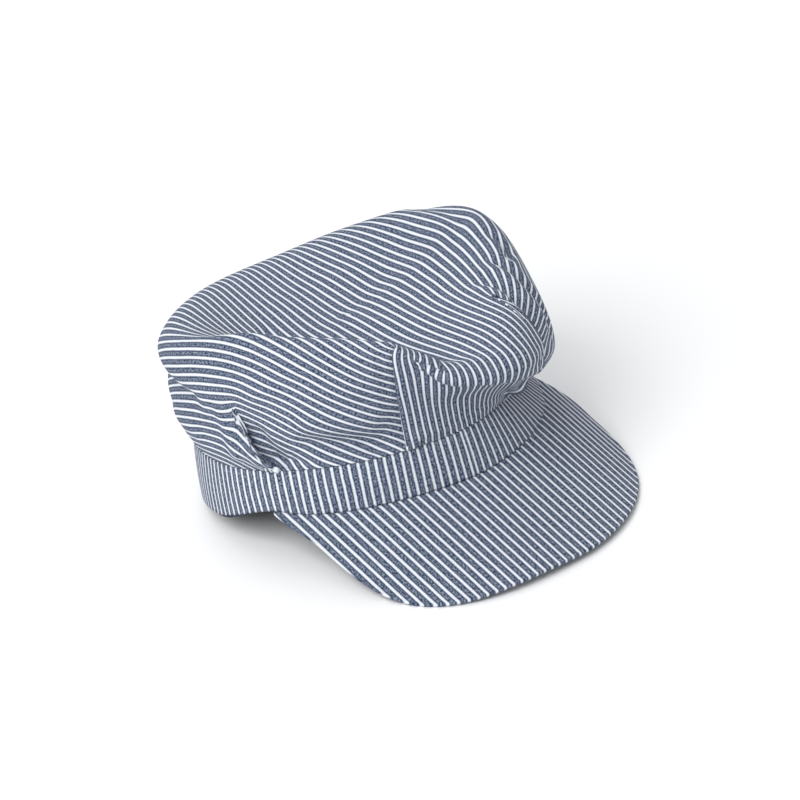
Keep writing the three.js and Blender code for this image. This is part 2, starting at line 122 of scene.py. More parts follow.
def hermite(
    a: np.ndarray, b: np.ndarray, slope_a: np.ndarray, slope_b: np.ndarray, t: np.ndarray
) -> np.ndarray:
    """Reads a cubic that runs from one value to another.

    Args:
        a: the value at its start.
        b: the value at its end.
        slope_a: its slope at the start.
        slope_b: its slope at the end.
        t: where to read it, from 0 to 1.

    Returns:
        The cubic's value.
    """
    t2, t3 = t * t, t * t * t
    return (
        a * (2 * t3 - 3 * t2 + 1)
        + slope_a * (t3 - 2 * t2 + t)
        + b * (3 * t2 - 2 * t3)
        + slope_b * (t3 - t2)
    )


def round_table(knots: np.ndarray, table: np.ndarray, angle: np.ndarray) -> np.ndarray:
    """Reads a table of values that goes round the cap, smoothly between its rows.

    Args:
        knots: each row's angle, rising, in degrees.
        table: a row of values for each knot.
        angle: where to read it.

    Returns:
        Values on a new last axis.
    """
    count = len(knots)
    turned = wrap_angle(angle)
    after = np.searchsorted(knots, turned, side="right") % count
    before = (after - 1) % count
    early, late = (before - 1) % count, (after + 1) % count
    span = (knots[after] - knots[before]) % 360.0
    share = ((turned - knots[before]) % 360.0) / span
    wide_a = ((knots[before] - knots[early]) % 360.0 + span)[..., None]
    wide_b = (span + (knots[late] - knots[after]) % 360.0)[..., None]
    slope_a = (table[after] - table[early]) / wide_a * span[..., None]
    slope_b = (table[late] - table[before]) / wide_b * span[..., None]
    return hermite(table[before], table[after], slope_a, slope_b, share[..., None])


def next_steps(values: np.ndarray) -> tuple[np.ndarray, np.ndarray]:
    """Steps from each point of a closed grid to the next column, and to the next row."""
    return np.roll(values, -1, axis=0) - values, values[:, 1:] - values[:, :-1]


def round_chart(edge: np.ndarray, rise: np.ndarray) -> np.ndarray:
    """Lays out the cloth of a strip that goes round the head.

    Args:
        edge: points round the strip's lower edge.
        rise: the cloth coordinate up the strip, for each of its rows.

    Returns:
        Millimetres round the strip and up it, one column longer than the edge.
    """
    steps = np.linalg.norm(np.roll(edge, -1, axis=0) - edge, axis=-1)
    around = np.concatenate([[0.0], np.cumsum(steps)])
    return np.stack(np.meshgrid(around, rise, indexing="ij"), axis=-1)


# How the cap lies


@dataclass(frozen=True)
class Rest:
    """The turn and shift from the cap's own frame to the way it lies on the floor."""

    turn: tuple[tuple[float, float, float], ...] = (
        (0.998883, -0.000993, 0.047234),
        (-0.006123, 0.988627, 0.150265),
        (-0.046845, -0.150387, 0.987517),
    )
    shift: tuple[float, float, float] = (-4.657423, 27.69364, 13.303379)

    def matrix(self) -> np.ndarray:
        """The turn as a 3 by 3 array."""
        return np.array(self.turn)

    def place(self, points: np.ndarray) -> np.ndarray:
        """Moves points of the cap's frame to the floor's frame, in metres.

        Args:
            points: points in millimetres, on the last axis.

        Returns:
            Points in metres, with what was below the floor pressed flat on it.
        """
        placed = points @ self.matrix().T + np.array(self.shift)
        placed[..., 2] = np.maximum(placed[..., 2], 0.0)
        return placed * MM


REST = Rest()


# Meshes from grids


class Wrap(Enum):
    """How a grid of points closes on itself."""

    OPEN = "neither way"
    ROUND = "round its columns"
    TUBE = "round its columns and its rows"


def grid_object(
    name: str, points: np.ndarray, chart: np.ndarray, wrap: Wrap, poles: bool = False
) -> bpy.types.Object:
    """Builds a mesh object from a grid of points.

    Args:
        name: the object's name.
        points: columns by rows of points in the cap's frame.
        chart: stripe coordinates in millimetres, across and along, for each corner of the grid's
            cells, so one longer than points wherever the grid closes.
        wrap: how the grid closes.
        poles: whether a point closes the first and the last row.

    Returns:
        The object, linked to the scene, with smooth faces and its chart as a UV map.
    """
    columns, rows = points.shape[:2]
    across = columns if wrap is not Wrap.OPEN else columns - 1
    along = rows if wrap is Wrap.TUBE else rows - 1
    i, j = np.meshgrid(np.arange(across), np.arange(along), indexing="ij")
    i, j = i.ravel(), j.ravel()
    corners = [(i, j), (i + 1, j), (i + 1, j + 1), (i, j + 1)]
    index = np.stack([(a % columns) * rows + b % rows for a, b in corners], axis=1)
    uv = np.stack([chart[a, b] for a, b in corners], axis=1)
    vertices = REST.place(points).reshape(-1, 3)
    faces = index.tolist()
    loops = uv.reshape(-1, 2)
    if poles:
        ends = [REST.place(points[:, row].mean(axis=0)) for row in (0, rows - 1)]
        first = len(vertices)
        vertices = np.vstack([vertices, ends])
        for pole, row in ((first, 0), (first + 1, rows - 1)):
            middle = chart[:, row].mean(axis=0)
            for column in range(columns):
                pair = [column, (column + 1) % columns]
                if row:
                    pair.reverse()
                faces.append([pair[1] * rows + row, pair[0] * rows + row, pole])
                loops = np.vstack([loops, chart[pair[1], row], chart[pair[0], row], middle])
    mesh = bpy.data.meshes.new(name)
    mesh.from_pydata(vertices.tolist(), [], faces)
    layer = mesh.uv_layers.new(name=CLOTH_MAP)
    layer.uv.foreach_set("vector", (loops * MM).astype(np.float32).ravel())
    mesh.polygons.foreach_set("use_smooth", [True] * len(mesh.polygons))
    mesh.update()
    made = bpy.data.objects.new(name, mesh)
    bpy.context.scene.collection.objects.link(made)
    return made


def grid_normals(points: np.ndarray, closed: bool) -> np.ndarray:
    """Unit normals of a grid of points.

    Args:
        points: columns by rows of points, with columns running clockwise seen from above.
        closed: whether the columns close round.

    Returns:
        Normals that point outwards.
    """
    if closed:
        around = np.roll(points, -1, axis=0) - np.roll(points, 1, axis=0)
    else:
        around = np.gradient(points, axis=0)
    return unit(np.cross(np.gradient(points, axis=1), around))


# The run of the stripes


@dataclass(frozen=True)
class ClothRun:
    """Lays a flat cloth's two coordinates over a folded surface, so that the stripes follow it."""

    rounds: int = 500
    settle_rounds: int = 60
    settles: int = 24
    pull: float = 0.14
    close_enough: float = 1e-4
    shortest_edge: float = 1e-3
    shortest_run: float = 1e-6
    least_weight: float = 0.05
    most_weight: float = 20.0

    def lay(
        self, points: np.ndarray, normals: np.ndarray, forward: np.ndarray, cut: np.ndarray
    ) -> np.ndarray:
        """Finds the cloth's coordinates at each point of a grid that closes round its columns.

        The first fit follows the wanted directions. Each later one lets every place turn as the
        cloth round it asks, less a pull towards its wanted direction, so that the stripes keep
        their spacing.

        Args:
            points: columns by rows of points.
            normals: their outward normals.
            forward: the way the stripes run at each point, not yet laid in the surface.
            cut: for each point, how far the cloth is joined to the next column, from 0 to 1.

        Returns:
            Millimetres across and along the stripes, on the last axis.
        """
        along = unit(forward - (forward * normals).sum(-1, keepdims=True) * normals)
        across = np.cross(normals, along)
        steps = next_steps(points)
        lengths = [np.linalg.norm(step, axis=-1) for step in steps]
        flat = self._flat_steps(steps, lengths, (across, along))
        weights = self._weights(lengths, cut)
        turn = np.zeros(points.shape[:2])
        laid = [np.zeros_like(turn), np.zeros_like(turn)]
        for settle in range(self.settles + 1):
            half_u, half_v = (wrap_turn(step) / 2 for step in next_steps(turn))
            goals = []
            for (a, b), angle in zip(flat, (turn + half_u, turn[:, :-1] + half_v)):
                cos, sin = np.cos(angle), np.sin(angle)
                goals.append((a * cos - b * sin, a * sin + b * cos))
            count = self.rounds if settle == 0 else self.settle_rounds
            wanted = zip(zip(*goals), laid)
            laid = [self._solve(weights, goal, start, count) for goal, start in wanted]
            turn = self._local_turn(flat, laid, weights) * (1.0 - self.pull)
        return np.stack(laid, axis=-1)

    def _weights(self, lengths: Sequence[np.ndarray], cut: np.ndarray) -> tuple[np.ndarray, ...]:
        """Weighs each edge by the cloth beside it over its own length.

        Args:
            lengths: the lengths of the edges to the next column and to the next row.
            cut: how far the cloth is joined to the next column.

        Returns:
            The weights of both kinds of edge.
        """
        long_u, long_v = lengths
        beside_u = np.pad(long_v, ((0, 0), (1, 1)), mode="edge")
        beside_u = (beside_u[:, 1:] + beside_u[:, :-1]) / 2
        beside_v = (long_u + np.roll(long_u, 1, axis=0)) / 2
        beside_v = (beside_v[:, 1:] + beside_v[:, :-1]) / 2
        weight_u, weight_v = (
            np.clip(
                beside / np.maximum(length, self.shortest_edge), self.least_weight, self.most_weight
            )
            for beside, length in ((beside_u, long_u), (beside_v, long_v))
        )
        return weight_u * cut, weight_v

    def _flat_steps(
        self, steps: Sequence[np.ndarray], lengths: Sequence[np.ndarray], ways: Sequence[np.ndarray]
    ) -> list[tuple[np.ndarray, np.ndarray]]:
        """Reads each edge across and along the cloth, at its true length.

        Args:
            steps: the edges to the next column and to the next row.
            lengths: their lengths.
            ways: the directions across and along the stripes at each point.

        Returns:
            For each kind of edge, its run across and its run along.
        """
        between = [(way + np.roll(way, -1, axis=0), way[:, 1:] + way[:, :-1]) for way in ways]
        flat = []
        for step, length, pair in zip(steps, lengths, zip(*between)):
            a, b = ((step * unit(way)).sum(-1) for way in pair)
            scale = length / np.maximum(np.hypot(a, b), self.shortest_run)
            flat.append((a * scale, b * scale))
        return flat

    @staticmethod
    def _sum_edges(edges: Sequence[np.ndarray], start: float = 1.0) -> np.ndarray:
        """Adds up the values of the edges that meet at each point.

        Args:
            edges: values for the edges to the next column and to the next row.
            start: how much an edge counts at the point where it starts.

        Returns:
            The sum at each point.
        """
        edge_u, edge_v = edges
        total = np.roll(edge_u, 1, axis=0) + start * edge_u
        total[:, :-1] += start * edge_v
        total[:, 1:] += edge_v
        return total

    def _local_turn(
        self,
        flat: Sequence[tuple[np.ndarray, np.ndarray]],
        laid: Sequence[np.ndarray],
        weights: Sequence[np.ndarray],
    ) -> np.ndarray:
        """Finds how far the laid cloth is turned from its wanted direction at each point.

        Args:
            flat: for each kind of edge, its run across and along.
            laid: the two coordinates as they are laid.
            weights: the weights of both kinds of edge.

        Returns:
            The turn in radians.
        """
        side, same = [], []
        for (a, b), weight, du, dv in zip(flat, weights, *map(next_steps, laid)):
            side.append(weight * (a * dv - b * du))
            same.append(weight * (a * du + b * dv))
        return np.arctan2(self._sum_edges(side), self._sum_edges(same))

    def _solve(
        self,
        weights: Sequence[np.ndarray],
        goals: Sequence[np.ndarray],
        start: np.ndarray,
        rounds: int,
    ) -> np.ndarray:
        """Fits one coordinate to its wanted steps by least squares, with conjugate gradients.

        Args:
            weights: the weights of both kinds of edge.
            goals: the wanted steps along them.
            start: the coordinate to start from.
            rounds: the most rounds to take.

        Returns:
            The coordinate, with a mean of 0.
        """

        def spread(steps: Sequence[np.ndarray]) -> np.ndarray:
            """The weighted steps into each point, less those out of it."""
            return self._sum_edges([w * step for w, step in zip(weights, steps)], start=-1.0)

        value = start.copy()
        rest = spread(goals) - spread(next_steps(value))
        scale = self._sum_edges(weights)
        ready = rest / scale
        way = ready.copy()
        power = (rest * ready).sum()
        stop = power * self.close_enough**2
        for _ in range(rounds):
            pushed = spread(next_steps(way))
            size = power / (way * pushed).sum()
            value += size * way
            rest -= size * pushed
            ready = rest / scale
            fresh = (rest * ready).sum()
            if fresh < stop:
                break
            way = ready + fresh / power * way
            power = fresh
        return value - value.mean()


# The opening and the brim's form


# Where the band has slumped back from the brim: its top edge moves in and down there.
BAND_SLUMP = (
    # (angle, inward, drop), the last two as shares of the band's height
    (-150, 0.0, 0.0),
    (-100, 0.06, 0.0),
    (-78, 0.36, 0.02),
    (-60, 0.56, 0.05),
    (-44, 0.58, 0.07),
    (-28, 0.46, 0.07),
    (-15, 0.32, 0.05),
    (0, 0.18, 0.03),
    (14, 0.1, 0.0),
    (32, 0.02, 0.0),
    (60, 0.0, 0.0),
    (80, 0.03, 0.0),
    (105, 0.11, 0.0),
    (135, 0.06, 0.0),
)

# How far the band's lower edge bows down behind the brim.
BAND_SAG = (
    # (angle, millimetres)
    (-180, 0.0),
    (-150, 0.0),
    (-105, 2.5),
    (-80, 0.5),
    (-66, 0.0),
    (66, 0.0),
    (80, 1.9),
    (95, 4.3),
    (110, 4.8),
    (128, 4.1),
    (150, 0.0),
)


@dataclass(frozen=True)
class HeadOpening:
    """The oval that the band is sewn to, seen from above."""

    half_width: float = 89.0
    half_length: float = 89.0
    gathers: int = 26
    gather_depth: float = 1.5
    gather_start: float = 138.0
    gather_fade: float = 14.0
    band_height: float = 24.0
    seam_gap: float = 0.3  # left between two pieces that are sewn together

    def radius(self, angle: np.ndarray, inset: float = 0.0) -> np.ndarray:
        """Reads the oval without its gathers.

        Args:
            angle: degrees from the front.
            inset: millimetres in from the band's outer face.

        Returns:
            The radius in millimetres.
        """
        turn = np.radians(angle)
        return 1.0 / np.hypot(
            np.sin(turn) / (self.half_width - inset), np.cos(turn) / (self.half_length - inset)
        )

    def slump(self, angle: np.ndarray) -> tuple[np.ndarray, np.ndarray]:
        """Reads how far the band's top edge has moved.

        Args:
            angle: degrees from the front.

        Returns:
            Millimetres inwards, and millimetres down.
        """
        rows = np.array(BAND_SLUMP, float)
        values = round_table(rows[:, 0], rows[:, 1:], angle) * self.band_height
        values = np.maximum(values, 0.0)
        return values[..., 0], values[..., 1]

    def gather(self, angle: np.ndarray) -> np.ndarray:
        """Reads how far the elastic's gathers push the cloth.

        Args:
            angle: degrees from the front.

        Returns:
            Millimetres outwards, or inwards below 0.
        """
        strength = smooth_step(
            self.gather_start, self.gather_start + self.gather_fade, np.abs(wrap_angle(angle))
        )
        return strength * self.gather_depth * np.cos(self.gathers * np.radians(angle))


@dataclass(frozen=True)
class BrimForm:
    """The arched surface of the brim and its outline."""

    opening: HeadOpening
    length: float = 70.3
    flare: float = 2.4
    offset: float = 5.5
    slope: float = 26.5
    drop_right: float = 20.8
    drop_left: float = 19.8
    bend: float = 2.6
    corner_right: float = 2.8
    corner_left: float = 1.88
    swell_left: float = 6.0
    side_start: float = 69.0
    side_length: float = 34.0
    side_part: float = 0.17

    @property
    def joint(self) -> np.ndarray:
        """Where the wearer's right side of the brim leaves the band."""
        start = np.array(self.side_start)
        return polar(start, self.opening.radius(start), np.array(0.0))

    @property
    def half_width(self) -> float:
        """Half the width of the brim's straight sides."""
        return abs(float(self.joint[0])) + self.flare

    def arch(self, x: np.ndarray) -> np.ndarray:
        """Reads how far the brim hangs below its middle, square to its slope.

        Args:
            x: millimetres towards the wearer's left.

        Returns:
            Millimetres down.
        """
        side = (x - self.offset) / self.half_width
        drop = np.where(side < 0, self.drop_right, self.drop_left)
        return drop * np.abs(side) ** self.bend

    def height(self, x: np.ndarray, y: np.ndarray) -> np.ndarray:
        """Height of the brim's upper face."""
        slope = np.radians(self.slope)
        return -self.arch(x) / np.cos(slope) - (-y - self.opening.half_length) * np.tan(slope)

    def edge(self, share: np.ndarray) -> tuple[np.ndarray, np.ndarray]:
        """Plan position of the outer edge, from one joint with the band (0) to the other (1).

        Args:
            share: how far along the edge.

        Returns:
            The x and y of each point.
        """
        joint = self.joint
        front = -self.opening.half_length - self.length * np.cos(np.radians(self.slope))
        corner = joint[1] - self.side_length
        on_right = share < 0.5
        half = np.minimum(share, 1.0 - share)
        sign = np.where(on_right, -1.0, 1.0)
        along = np.clip(half / self.side_part, 0.0, 1.0)
        start = abs(joint[0]) - sign * self.offset
        reach = start + (self.half_width - start) * smooth_step(0.0, 1.0, along)
        swell = self.swell_left * SWELL_SCALE * along * (1.0 - along) ** 2
        reach = reach + np.where(on_right, 0.0, swell)
        turn = np.pi / 2 * np.clip((half - self.side_part) / (0.5 - self.side_part), 0.0, 1.0)
        power = 2.0 / np.where(on_right, self.corner_right, self.corner_left)
        across = np.maximum(np.cos(turn), 0.0) ** power
        ahead = np.sin(turn) ** power
        on_side = half < self.side_part
        side_y = joint[1] + (corner - joint[1]) * along
        x = np.where(on_side, reach, self.half_width * across)
        y = np.where(on_side, side_y, corner + (front - corner) * ahead)
        return self.offset + sign * x, y


# The crown's form


@dataclass(frozen=True)
class Section:
    """One upright section of the crown, as shares of its radius and its rise."""

    angle: float
    low: tuple[float, float]
    middle: tuple[float, float]
    shoulder: tuple[float, float]
    rim: tuple[float, float]
    inner: tuple[float, float]
    top: tuple[float, float]


VALLEY_SHOULDER = 0.75  # how high the cloth stands up beside a groove
VALLEY_REACH = 0.8  # how soon a groove fades out, against a ridge of the same width
LAP_SCALE = 1.65  # brings a lap's roll to about the fold's height


class FoldKind(Enum):
    """The cross-section of a fold."""

    RIDGE = "a raised roll"
    VALLEY = "a pressed groove"
    LAP = "a roll with a groove beside it"

    def push(self, away: np.ndarray, side: np.ndarray) -> np.ndarray:
        """Reads the cross-section.

        Args:
            away: distance from the fold's line, in widths of the fold.
            side: which side of the line, -1 or 1.

        Returns:
            How far the cloth moves out, as a share of the fold's height.
        """
        bell = np.exp(-away * away)
        if self is FoldKind.RIDGE:
            return bell
        if self is FoldKind.VALLEY:
            return -(1.0 - VALLEY_SHOULDER * away * away) * np.exp(-VALLEY_REACH * away * away)
        return LAP_SCALE * side * away * bell


@dataclass(frozen=True)
class Fold:
    """A fold along a line on the crown, given by angle and share points."""

    kind: FoldKind
    line: tuple[tuple[float, float], ...]
    width: float
    height: float


@dataclass(frozen=True)
class StripeTurn:
    """A place where the cloth is turned, so that its stripes run another way."""

    angle: float
    share: float
    reach_angle: float
    reach_share: float
    turn: float


@dataclass(frozen=True)
class Pleat:
    """A fold where one stretch of cloth laps over the next.

    Its line gives its angle at shares of the way up. The cloth on top lies on the side that over
    names: 1 for greater angles and -1 for smaller ones.
    """

    line: tuple[tuple[float, float], ...]
    over: int
    width: float = 4.0
    lift: float = 4.0
    raised: float = 0.5
    reach: float = 20.0
    fade: float = 0.18

    @property
    def angle(self) -> float:
        """Its angle at the band."""
        return self.line[0][1]

    @property
    def top(self) -> float:
        """The share at which it ends."""
        return self.line[-1][0]

    def angle_at(self, share: np.ndarray) -> np.ndarray:
        """Its angle at a share of the way up."""
        shares = [row[0] for row in self.line]
        return np.interp(share, shares, [row[1] for row in self.line])


SECTIONS = tuple(
    Section(*row)
    for row in (
        # angle, low, middle, shoulder, rim, inner, top
        (-170, (0.98, 0.12), (1.0, 0.35), (0.98, 0.56), (0.89, 0.74), (0.72, 0.81), (0.42, 0.7)),
        (-140, (1.0, 0.12), (1.02, 0.35), (1.0, 0.59), (0.92, 0.785), (0.75, 0.87), (0.45, 0.75)),
        (-105, (1.03, 0.12), (1.05, 0.36), (1.03, 0.62), (0.96, 0.885), (0.8, 0.94), (0.48, 0.76)),
        (-75, (0.99, 0.05), (1.05, 0.18), (1.05, 0.51), (0.965, 0.84), (0.81, 0.94), (0.46, 0.75)),
        (-60, (0.96, 0.025), (1.04, 0.06), (1.08, 0.3), (0.99, 0.7), (0.83, 0.85), (0.46, 0.71)),
        (-46, (0.93, 0.025), (1.03, 0.05), (1.11, 0.21), (1.05, 0.58), (0.85, 0.77), (0.46, 0.67)),
        (-30, (0.92, 0.05), (0.99, 0.085), (1.11, 0.21), (1.12, 0.44), (0.92, 0.67), (0.49, 0.62)),
        (-17, (0.94, 0.1), (0.97, 0.16), (1.11, 0.24), (1.18, 0.36), (1.02, 0.58), (0.52, 0.58)),
        (0, (0.94, 0.1), (0.95, 0.21), (1.08, 0.31), (1.12, 0.39), (0.93, 0.46), (0.5, 0.49)),
        (8, (0.95, 0.11), (0.96, 0.25), (1.05, 0.37), (1.08, 0.45), (0.9, 0.48), (0.5, 0.48)),
        (14, (0.955, 0.13), (0.97, 0.32), (1.0, 0.49), (1.02, 0.58), (0.88, 0.54), (0.49, 0.48)),
        (20, (0.96, 0.14), (0.99, 0.36), (1.0, 0.58), (1.0, 0.7), (0.87, 0.62), (0.48, 0.48)),
        (34, (0.96, 0.13), (1.0, 0.34), (1.01, 0.56), (0.92, 0.76), (0.74, 0.67), (0.44, 0.49)),
        (52, (0.98, 0.13), (1.01, 0.33), (1.0, 0.56), (0.9, 0.82), (0.72, 0.69), (0.42, 0.52)),
        (70, (0.99, 0.13), (0.99, 0.3), (1.0, 0.58), (0.9, 0.86), (0.72, 0.73), (0.42, 0.54)),
        (95, (0.99, 0.11), (1.0, 0.28), (1.02, 0.54), (0.95, 0.79), (0.77, 0.76), (0.42, 0.57)),
        (125, (0.99, 0.11), (0.99, 0.27), (1.02, 0.51), (0.99, 0.7), (0.82, 0.79), (0.42, 0.63)),
        (155, (0.98, 0.12), (0.98, 0.32), (1.0, 0.54), (0.94, 0.73), (0.76, 0.79), (0.42, 0.68)),
    )
)

# Each fold's kind, its line as (angle, share) points, and its width and height in millimetres.
# The first is the lip where the front has slumped forward over the band.
FOLDS = (
    Fold(
        FoldKind.LAP,
        (
            (19, 0.6),
            (14, 0.53),
            (8, 0.485),
            (0, 0.465),
            (-12, 0.44),
            (-24, 0.42),
            (-36, 0.4),
            (-50, 0.38),
        ),
        4.5,
        3.4,
    ),
    Fold(FoldKind.VALLEY, ((58, 0.2), (24, 0.07)), 6.0, 2.6),
    Fold(FoldKind.RIDGE, ((56, 0.3), (24, 0.2)), 7.0, 2.2),
    Fold(FoldKind.RIDGE, ((72, 0.36), (56, 0.46), (40, 0.5)), 7.0, 1.6),
    Fold(FoldKind.VALLEY, ((134, 0.44), (86, 0.36)), 7.0, 4.5),
    Fold(FoldKind.RIDGE, ((128, 0.27), (92, 0.24)), 6.0, 2.0),
    Fold(FoldKind.RIDGE, ((77, 0.06), (79, 0.24), (80, 0.4)), 5.0, 2.0),
    Fold(FoldKind.VALLEY, ((60, -0.08), (65, 0.1), (70, 0.3)), 4.6, 4.6),
    Fold(FoldKind.VALLEY, ((24, 0.5), (24.5, 0.4), (25, 0.24)), 2.6, 2.6),
    Fold(FoldKind.VALLEY, ((-38, 0.78), (-33, 0.64), (-33, 0.44)), 3.4, 3.4),
    Fold(FoldKind.RIDGE, ((-43, 0.76), (-38, 0.62), (-39, 0.46)), 3.4, 2.4),
    Fold(FoldKind.VALLEY, ((-50, 0.74), (-44, 0.6), (-46, 0.42)), 3.4, 3.2),
    Fold(FoldKind.VALLEY, ((-66, 0.7), (-58, 0.62), (-50, 0.66)), 3.4, 2.6),
    Fold(FoldKind.VALLEY, ((-24, 0.34), (-30, 0.2), (-24, 0.02)), 4.0, 2.8),
    Fold(FoldKind.VALLEY, ((20, 0.62), (42, 0.84), (130, 0.86)), 6.0, 3.2),
    Fold(FoldKind.RIDGE, ((-24, 0.55), (28, 0.72)), 7.0, 2.9),
    Fold(FoldKind.VALLEY, ((-120, 0.62), (-60, 0.8)), 8.0, 2.9),
    Fold(FoldKind.VALLEY, ((120, 0.3), (140, 0.05)), 9.0, 3.2),
    Fold(FoldKind.VALLEY, ((-160, 0.45), (-130, 0.1)), 9.0, 3.2),
    Fold(FoldKind.VALLEY, ((-90, 0.3), (-60, 0.1)), 9.0, 3.5),
)

# Each place's angle and share, how far the turn reaches in both, and its degrees.
STRIPE_TURNS = (
    StripeTurn(38.0, 0.2, 24.0, 0.22, -14.0),
    StripeTurn(78.0, 0.16, 8.0, 0.16, -34.0),
    StripeTurn(56.0, 0.05, 9.0, 0.14, -48.0),
)

# The pleats at the wearer's right and left of the front panel, the open tuck on the right, and
# the two pleats at the back.
PLEATS = (
    Pleat(((0.0, 21.5), (0.3, 21.5), (0.6, 19.0)), over=-1, lift=5.0),
    Pleat(
        ((0.0, -28.0), (0.22, -29.0), (0.4, -25.0), (0.6, -27.0), (0.7, -28.0), (0.76, -31.0)),
        over=1,
        lift=5.0,
        fade=0.14,
    ),
    Pleat(
        ((0.0, 64.0), (0.1, 67.0), (0.2, 70.0), (0.4, 74.0)),
        over=1,
        width=4.4,
        lift=10.0,
        raised=0.25,
        reach=9.0,
        fade=0.34,
    ),
    Pleat(((0.0, 154.0), (0.42, 152.0)), over=1, lift=2.5),
    Pleat(((0.0, -154.0), (0.42, -152.0)), over=-1, lift=2.5),
)

# A pleat's path in plan, from the panel's face round its fold and back under to the side cloth:
# how many pleat widths past the fold line, and how much of the lift is left.
PLEAT_PATH = (
    # (widths, lift)
    (-0.12, 1.0),
    (-0.02, 0.97),
    (0.05, 0.88),
    (0.05, 0.76),
    (-0.04, 0.66),
    (-0.35, 0.6),
    (-0.7, 0.56),
    (-1.0, 0.5),
    (-1.06, 0.4),
    (-1.0, 0.3),
    (-0.7, 0.2),
    (-0.3, 0.12),
    (0.1, 0.05),
    (0.5, 0.0),
)


# The shares over which the upright stripes of the front and back panels give way to the top's.
FRONT_PANEL_TOP = (0.5, 0.62)
BACK_PANEL_TOP = (0.38, 0.48)

# The way that the stripes of the front and back panels run.
FRONT_PANEL_RUN = (0.05, -0.1, -1.0)
BACK_PANEL_RUN = (0.0, -0.3, 1.0)


@dataclass(frozen=True)
class CrownForm:
    """The crown's folded surface over a grid of columns and rows."""

    opening: HeadOpening
    radius: float = 92.0  # what the sections' first shares are of
    rise: float = 80.0  # what their second shares are of
    wall: float = 1.6
    top: float = 0.58  # the share of the rise at the middle of the top
    columns: int = 300
    rows: int = 150
    last_share: float = 0.992  # the last row, beside the middle of the top
    run_slope: float = 13.0  # how steeply the wanted run of the top's stripes falls to the front
    slump_reach: float = 0.3  # the share up to which the crown follows the band's slump
    fullness: float = 1.17  # the laid cloth is this much wider than its fit
    pleat_margin: float = 0.62  # pleat widths that are kept free of even columns
    pleat_spread: float = 1.1  # pleat widths over which a shut pleat's columns spread
    pleat_close: float = 0.14  # the share over which a pleat closes at its end
    pleat_end: float = 0.02  # the share past its end at which its lift is gone
    pleat_drag: float = 36.0  # degrees over which the cloth follows a leaning pleat
    pleat_hold: float = 0.07  # the share over which the band holds a pleat flat
    panel_lift: float = 0.45  # the lift above which a pleat's column belongs to the panel
    cut_lift: float = 0.4  # the lift at which the cloth's chart is cut under a pleat
    cut_reach: float = 0.101  # and how far from that lift
    cut_ease: float = 0.3  # how far a pleat has to be open for the whole cut
    cut_share: float = 0.999
    fold_steps: int = 12  # straight steps between two points of a fold's line
    fold_reach: float = 3.2  # widths from its line at which a fold is left out
    fold_fade: float = 0.22  # the share of a fold's line over which each end fades out
    fold_hold: float = 0.05  # the share over which the band holds a fold flat
    sections: tuple[Section, ...] = SECTIONS
    folds: tuple[Fold, ...] = FOLDS
    turns: tuple[StripeTurn, ...] = STRIPE_TURNS
    pleats: tuple[Pleat, ...] = PLEATS

    @property
    def base(self) -> float:
        """Height of the crown's lower edge."""
        return self.opening.band_height + self.opening.seam_gap

    def column_plan(self) -> np.ndarray:
        """Lays out the columns at the band, with more of them where a pleat folds back.

        Returns:
            For each column: its pleat's angle, or its own; its pleat's number or -1; its share of
            the pleat's lift; and its degrees from that angle where the pleat is folded, and where
            it is shut.
        """
        plan: list[tuple[float, float, float, float, float]] = []
        for angle in np.linspace(-180.0, 180.0, self.columns, endpoint=False):
            away = [abs(wrap_angle(angle - p.angle)) / p.width for p in self.pleats]
            if min(away) > self.pleat_margin:
                plan.append((float(angle), -1.0, 0.0, 0.0, 0.0))
        for number, pleat in enumerate(self.pleats):
            for order, (widths, lift) in enumerate(PLEAT_PATH):
                even = self.pleat_spread * (0.5 - order / (len(PLEAT_PATH) - 1))
                folded, shut = (pleat.over * pleat.width * part for part in (-widths, even))
                plan.append((pleat.angle, number, lift, folded, shut))
        plan.sort(key=lambda row: row[0] + row[4])
        return np.array(plan)

    def _panel_share(self, plan: np.ndarray) -> tuple[np.ndarray, np.ndarray]:
        """Tells which columns belong to the front panel, and which to the back panel.

        Args:
            plan: the layout of the columns.

        Returns:
            Two columns of shares, 0 or 1.
        """
        angle, own, on_top = plan[:, 0], plan[:, 1].astype(int), plan[:, 2] > self.panel_lift
        front = (angle > self.pleats[1].angle) & (angle < self.pleats[0].angle)
        back = (angle > self.pleats[3].angle) | (angle < self.pleats[4].angle)
        front = np.where((own == 0) | (own == 1), on_top, front)
        back = np.where((own == 3) | (own == 4), on_top, back)
        return front[:, None].astype(float), back[:, None].astype(float)

    def profile(self, angle: np.ndarray) -> tuple[np.ndarray, np.ndarray]:
        """Radii and heights of the profile's eight knots at each angle.

        Args:
            angle: degrees from the front.

        Returns:
            Radii and heights in millimetres, with the knots on a new last axis.
        """
        table = np.array(
            [(*s.low, *s.middle, *s.shoulder, *s.rim, *s.inner, *s.top) for s in self.sections]
        )
        values = round_table(np.array([s.angle for s in self.sections], float), table, angle)
        base = self.opening.radius(angle) - self.opening.seam_gap
        zero = np.zeros_like(base)
        radii = np.concatenate(
            [base[..., None], values[..., 0::2] * self.radius, zero[..., None]], axis=-1
        )
        heights = np.concatenate(
            [
                zero[..., None],
                values[..., 1::2] * self.rise,
                (zero + self.top * self.rise)[..., None],
            ],
            axis=-1,
        )
        return radii, heights

    def bare(self, angle: np.ndarray, share: np.ndarray) -> tuple[np.ndarray, np.ndarray]:
        """The outer face's radius and height, without pleats or folds.

        Args:
            angle: degrees from the front.
            share: from 0 at the band to 1 at the middle of the top, of the same shape.

        Returns:
            Radius and height in millimetres.
        """
        radii, heights = self.profile(angle)
        last = radii.shape[-1] - 1
        place = np.clip(share, 0.0, 1.0) * last
        knot = np.minimum(place.astype(int), last - 1)
        part = place - knot

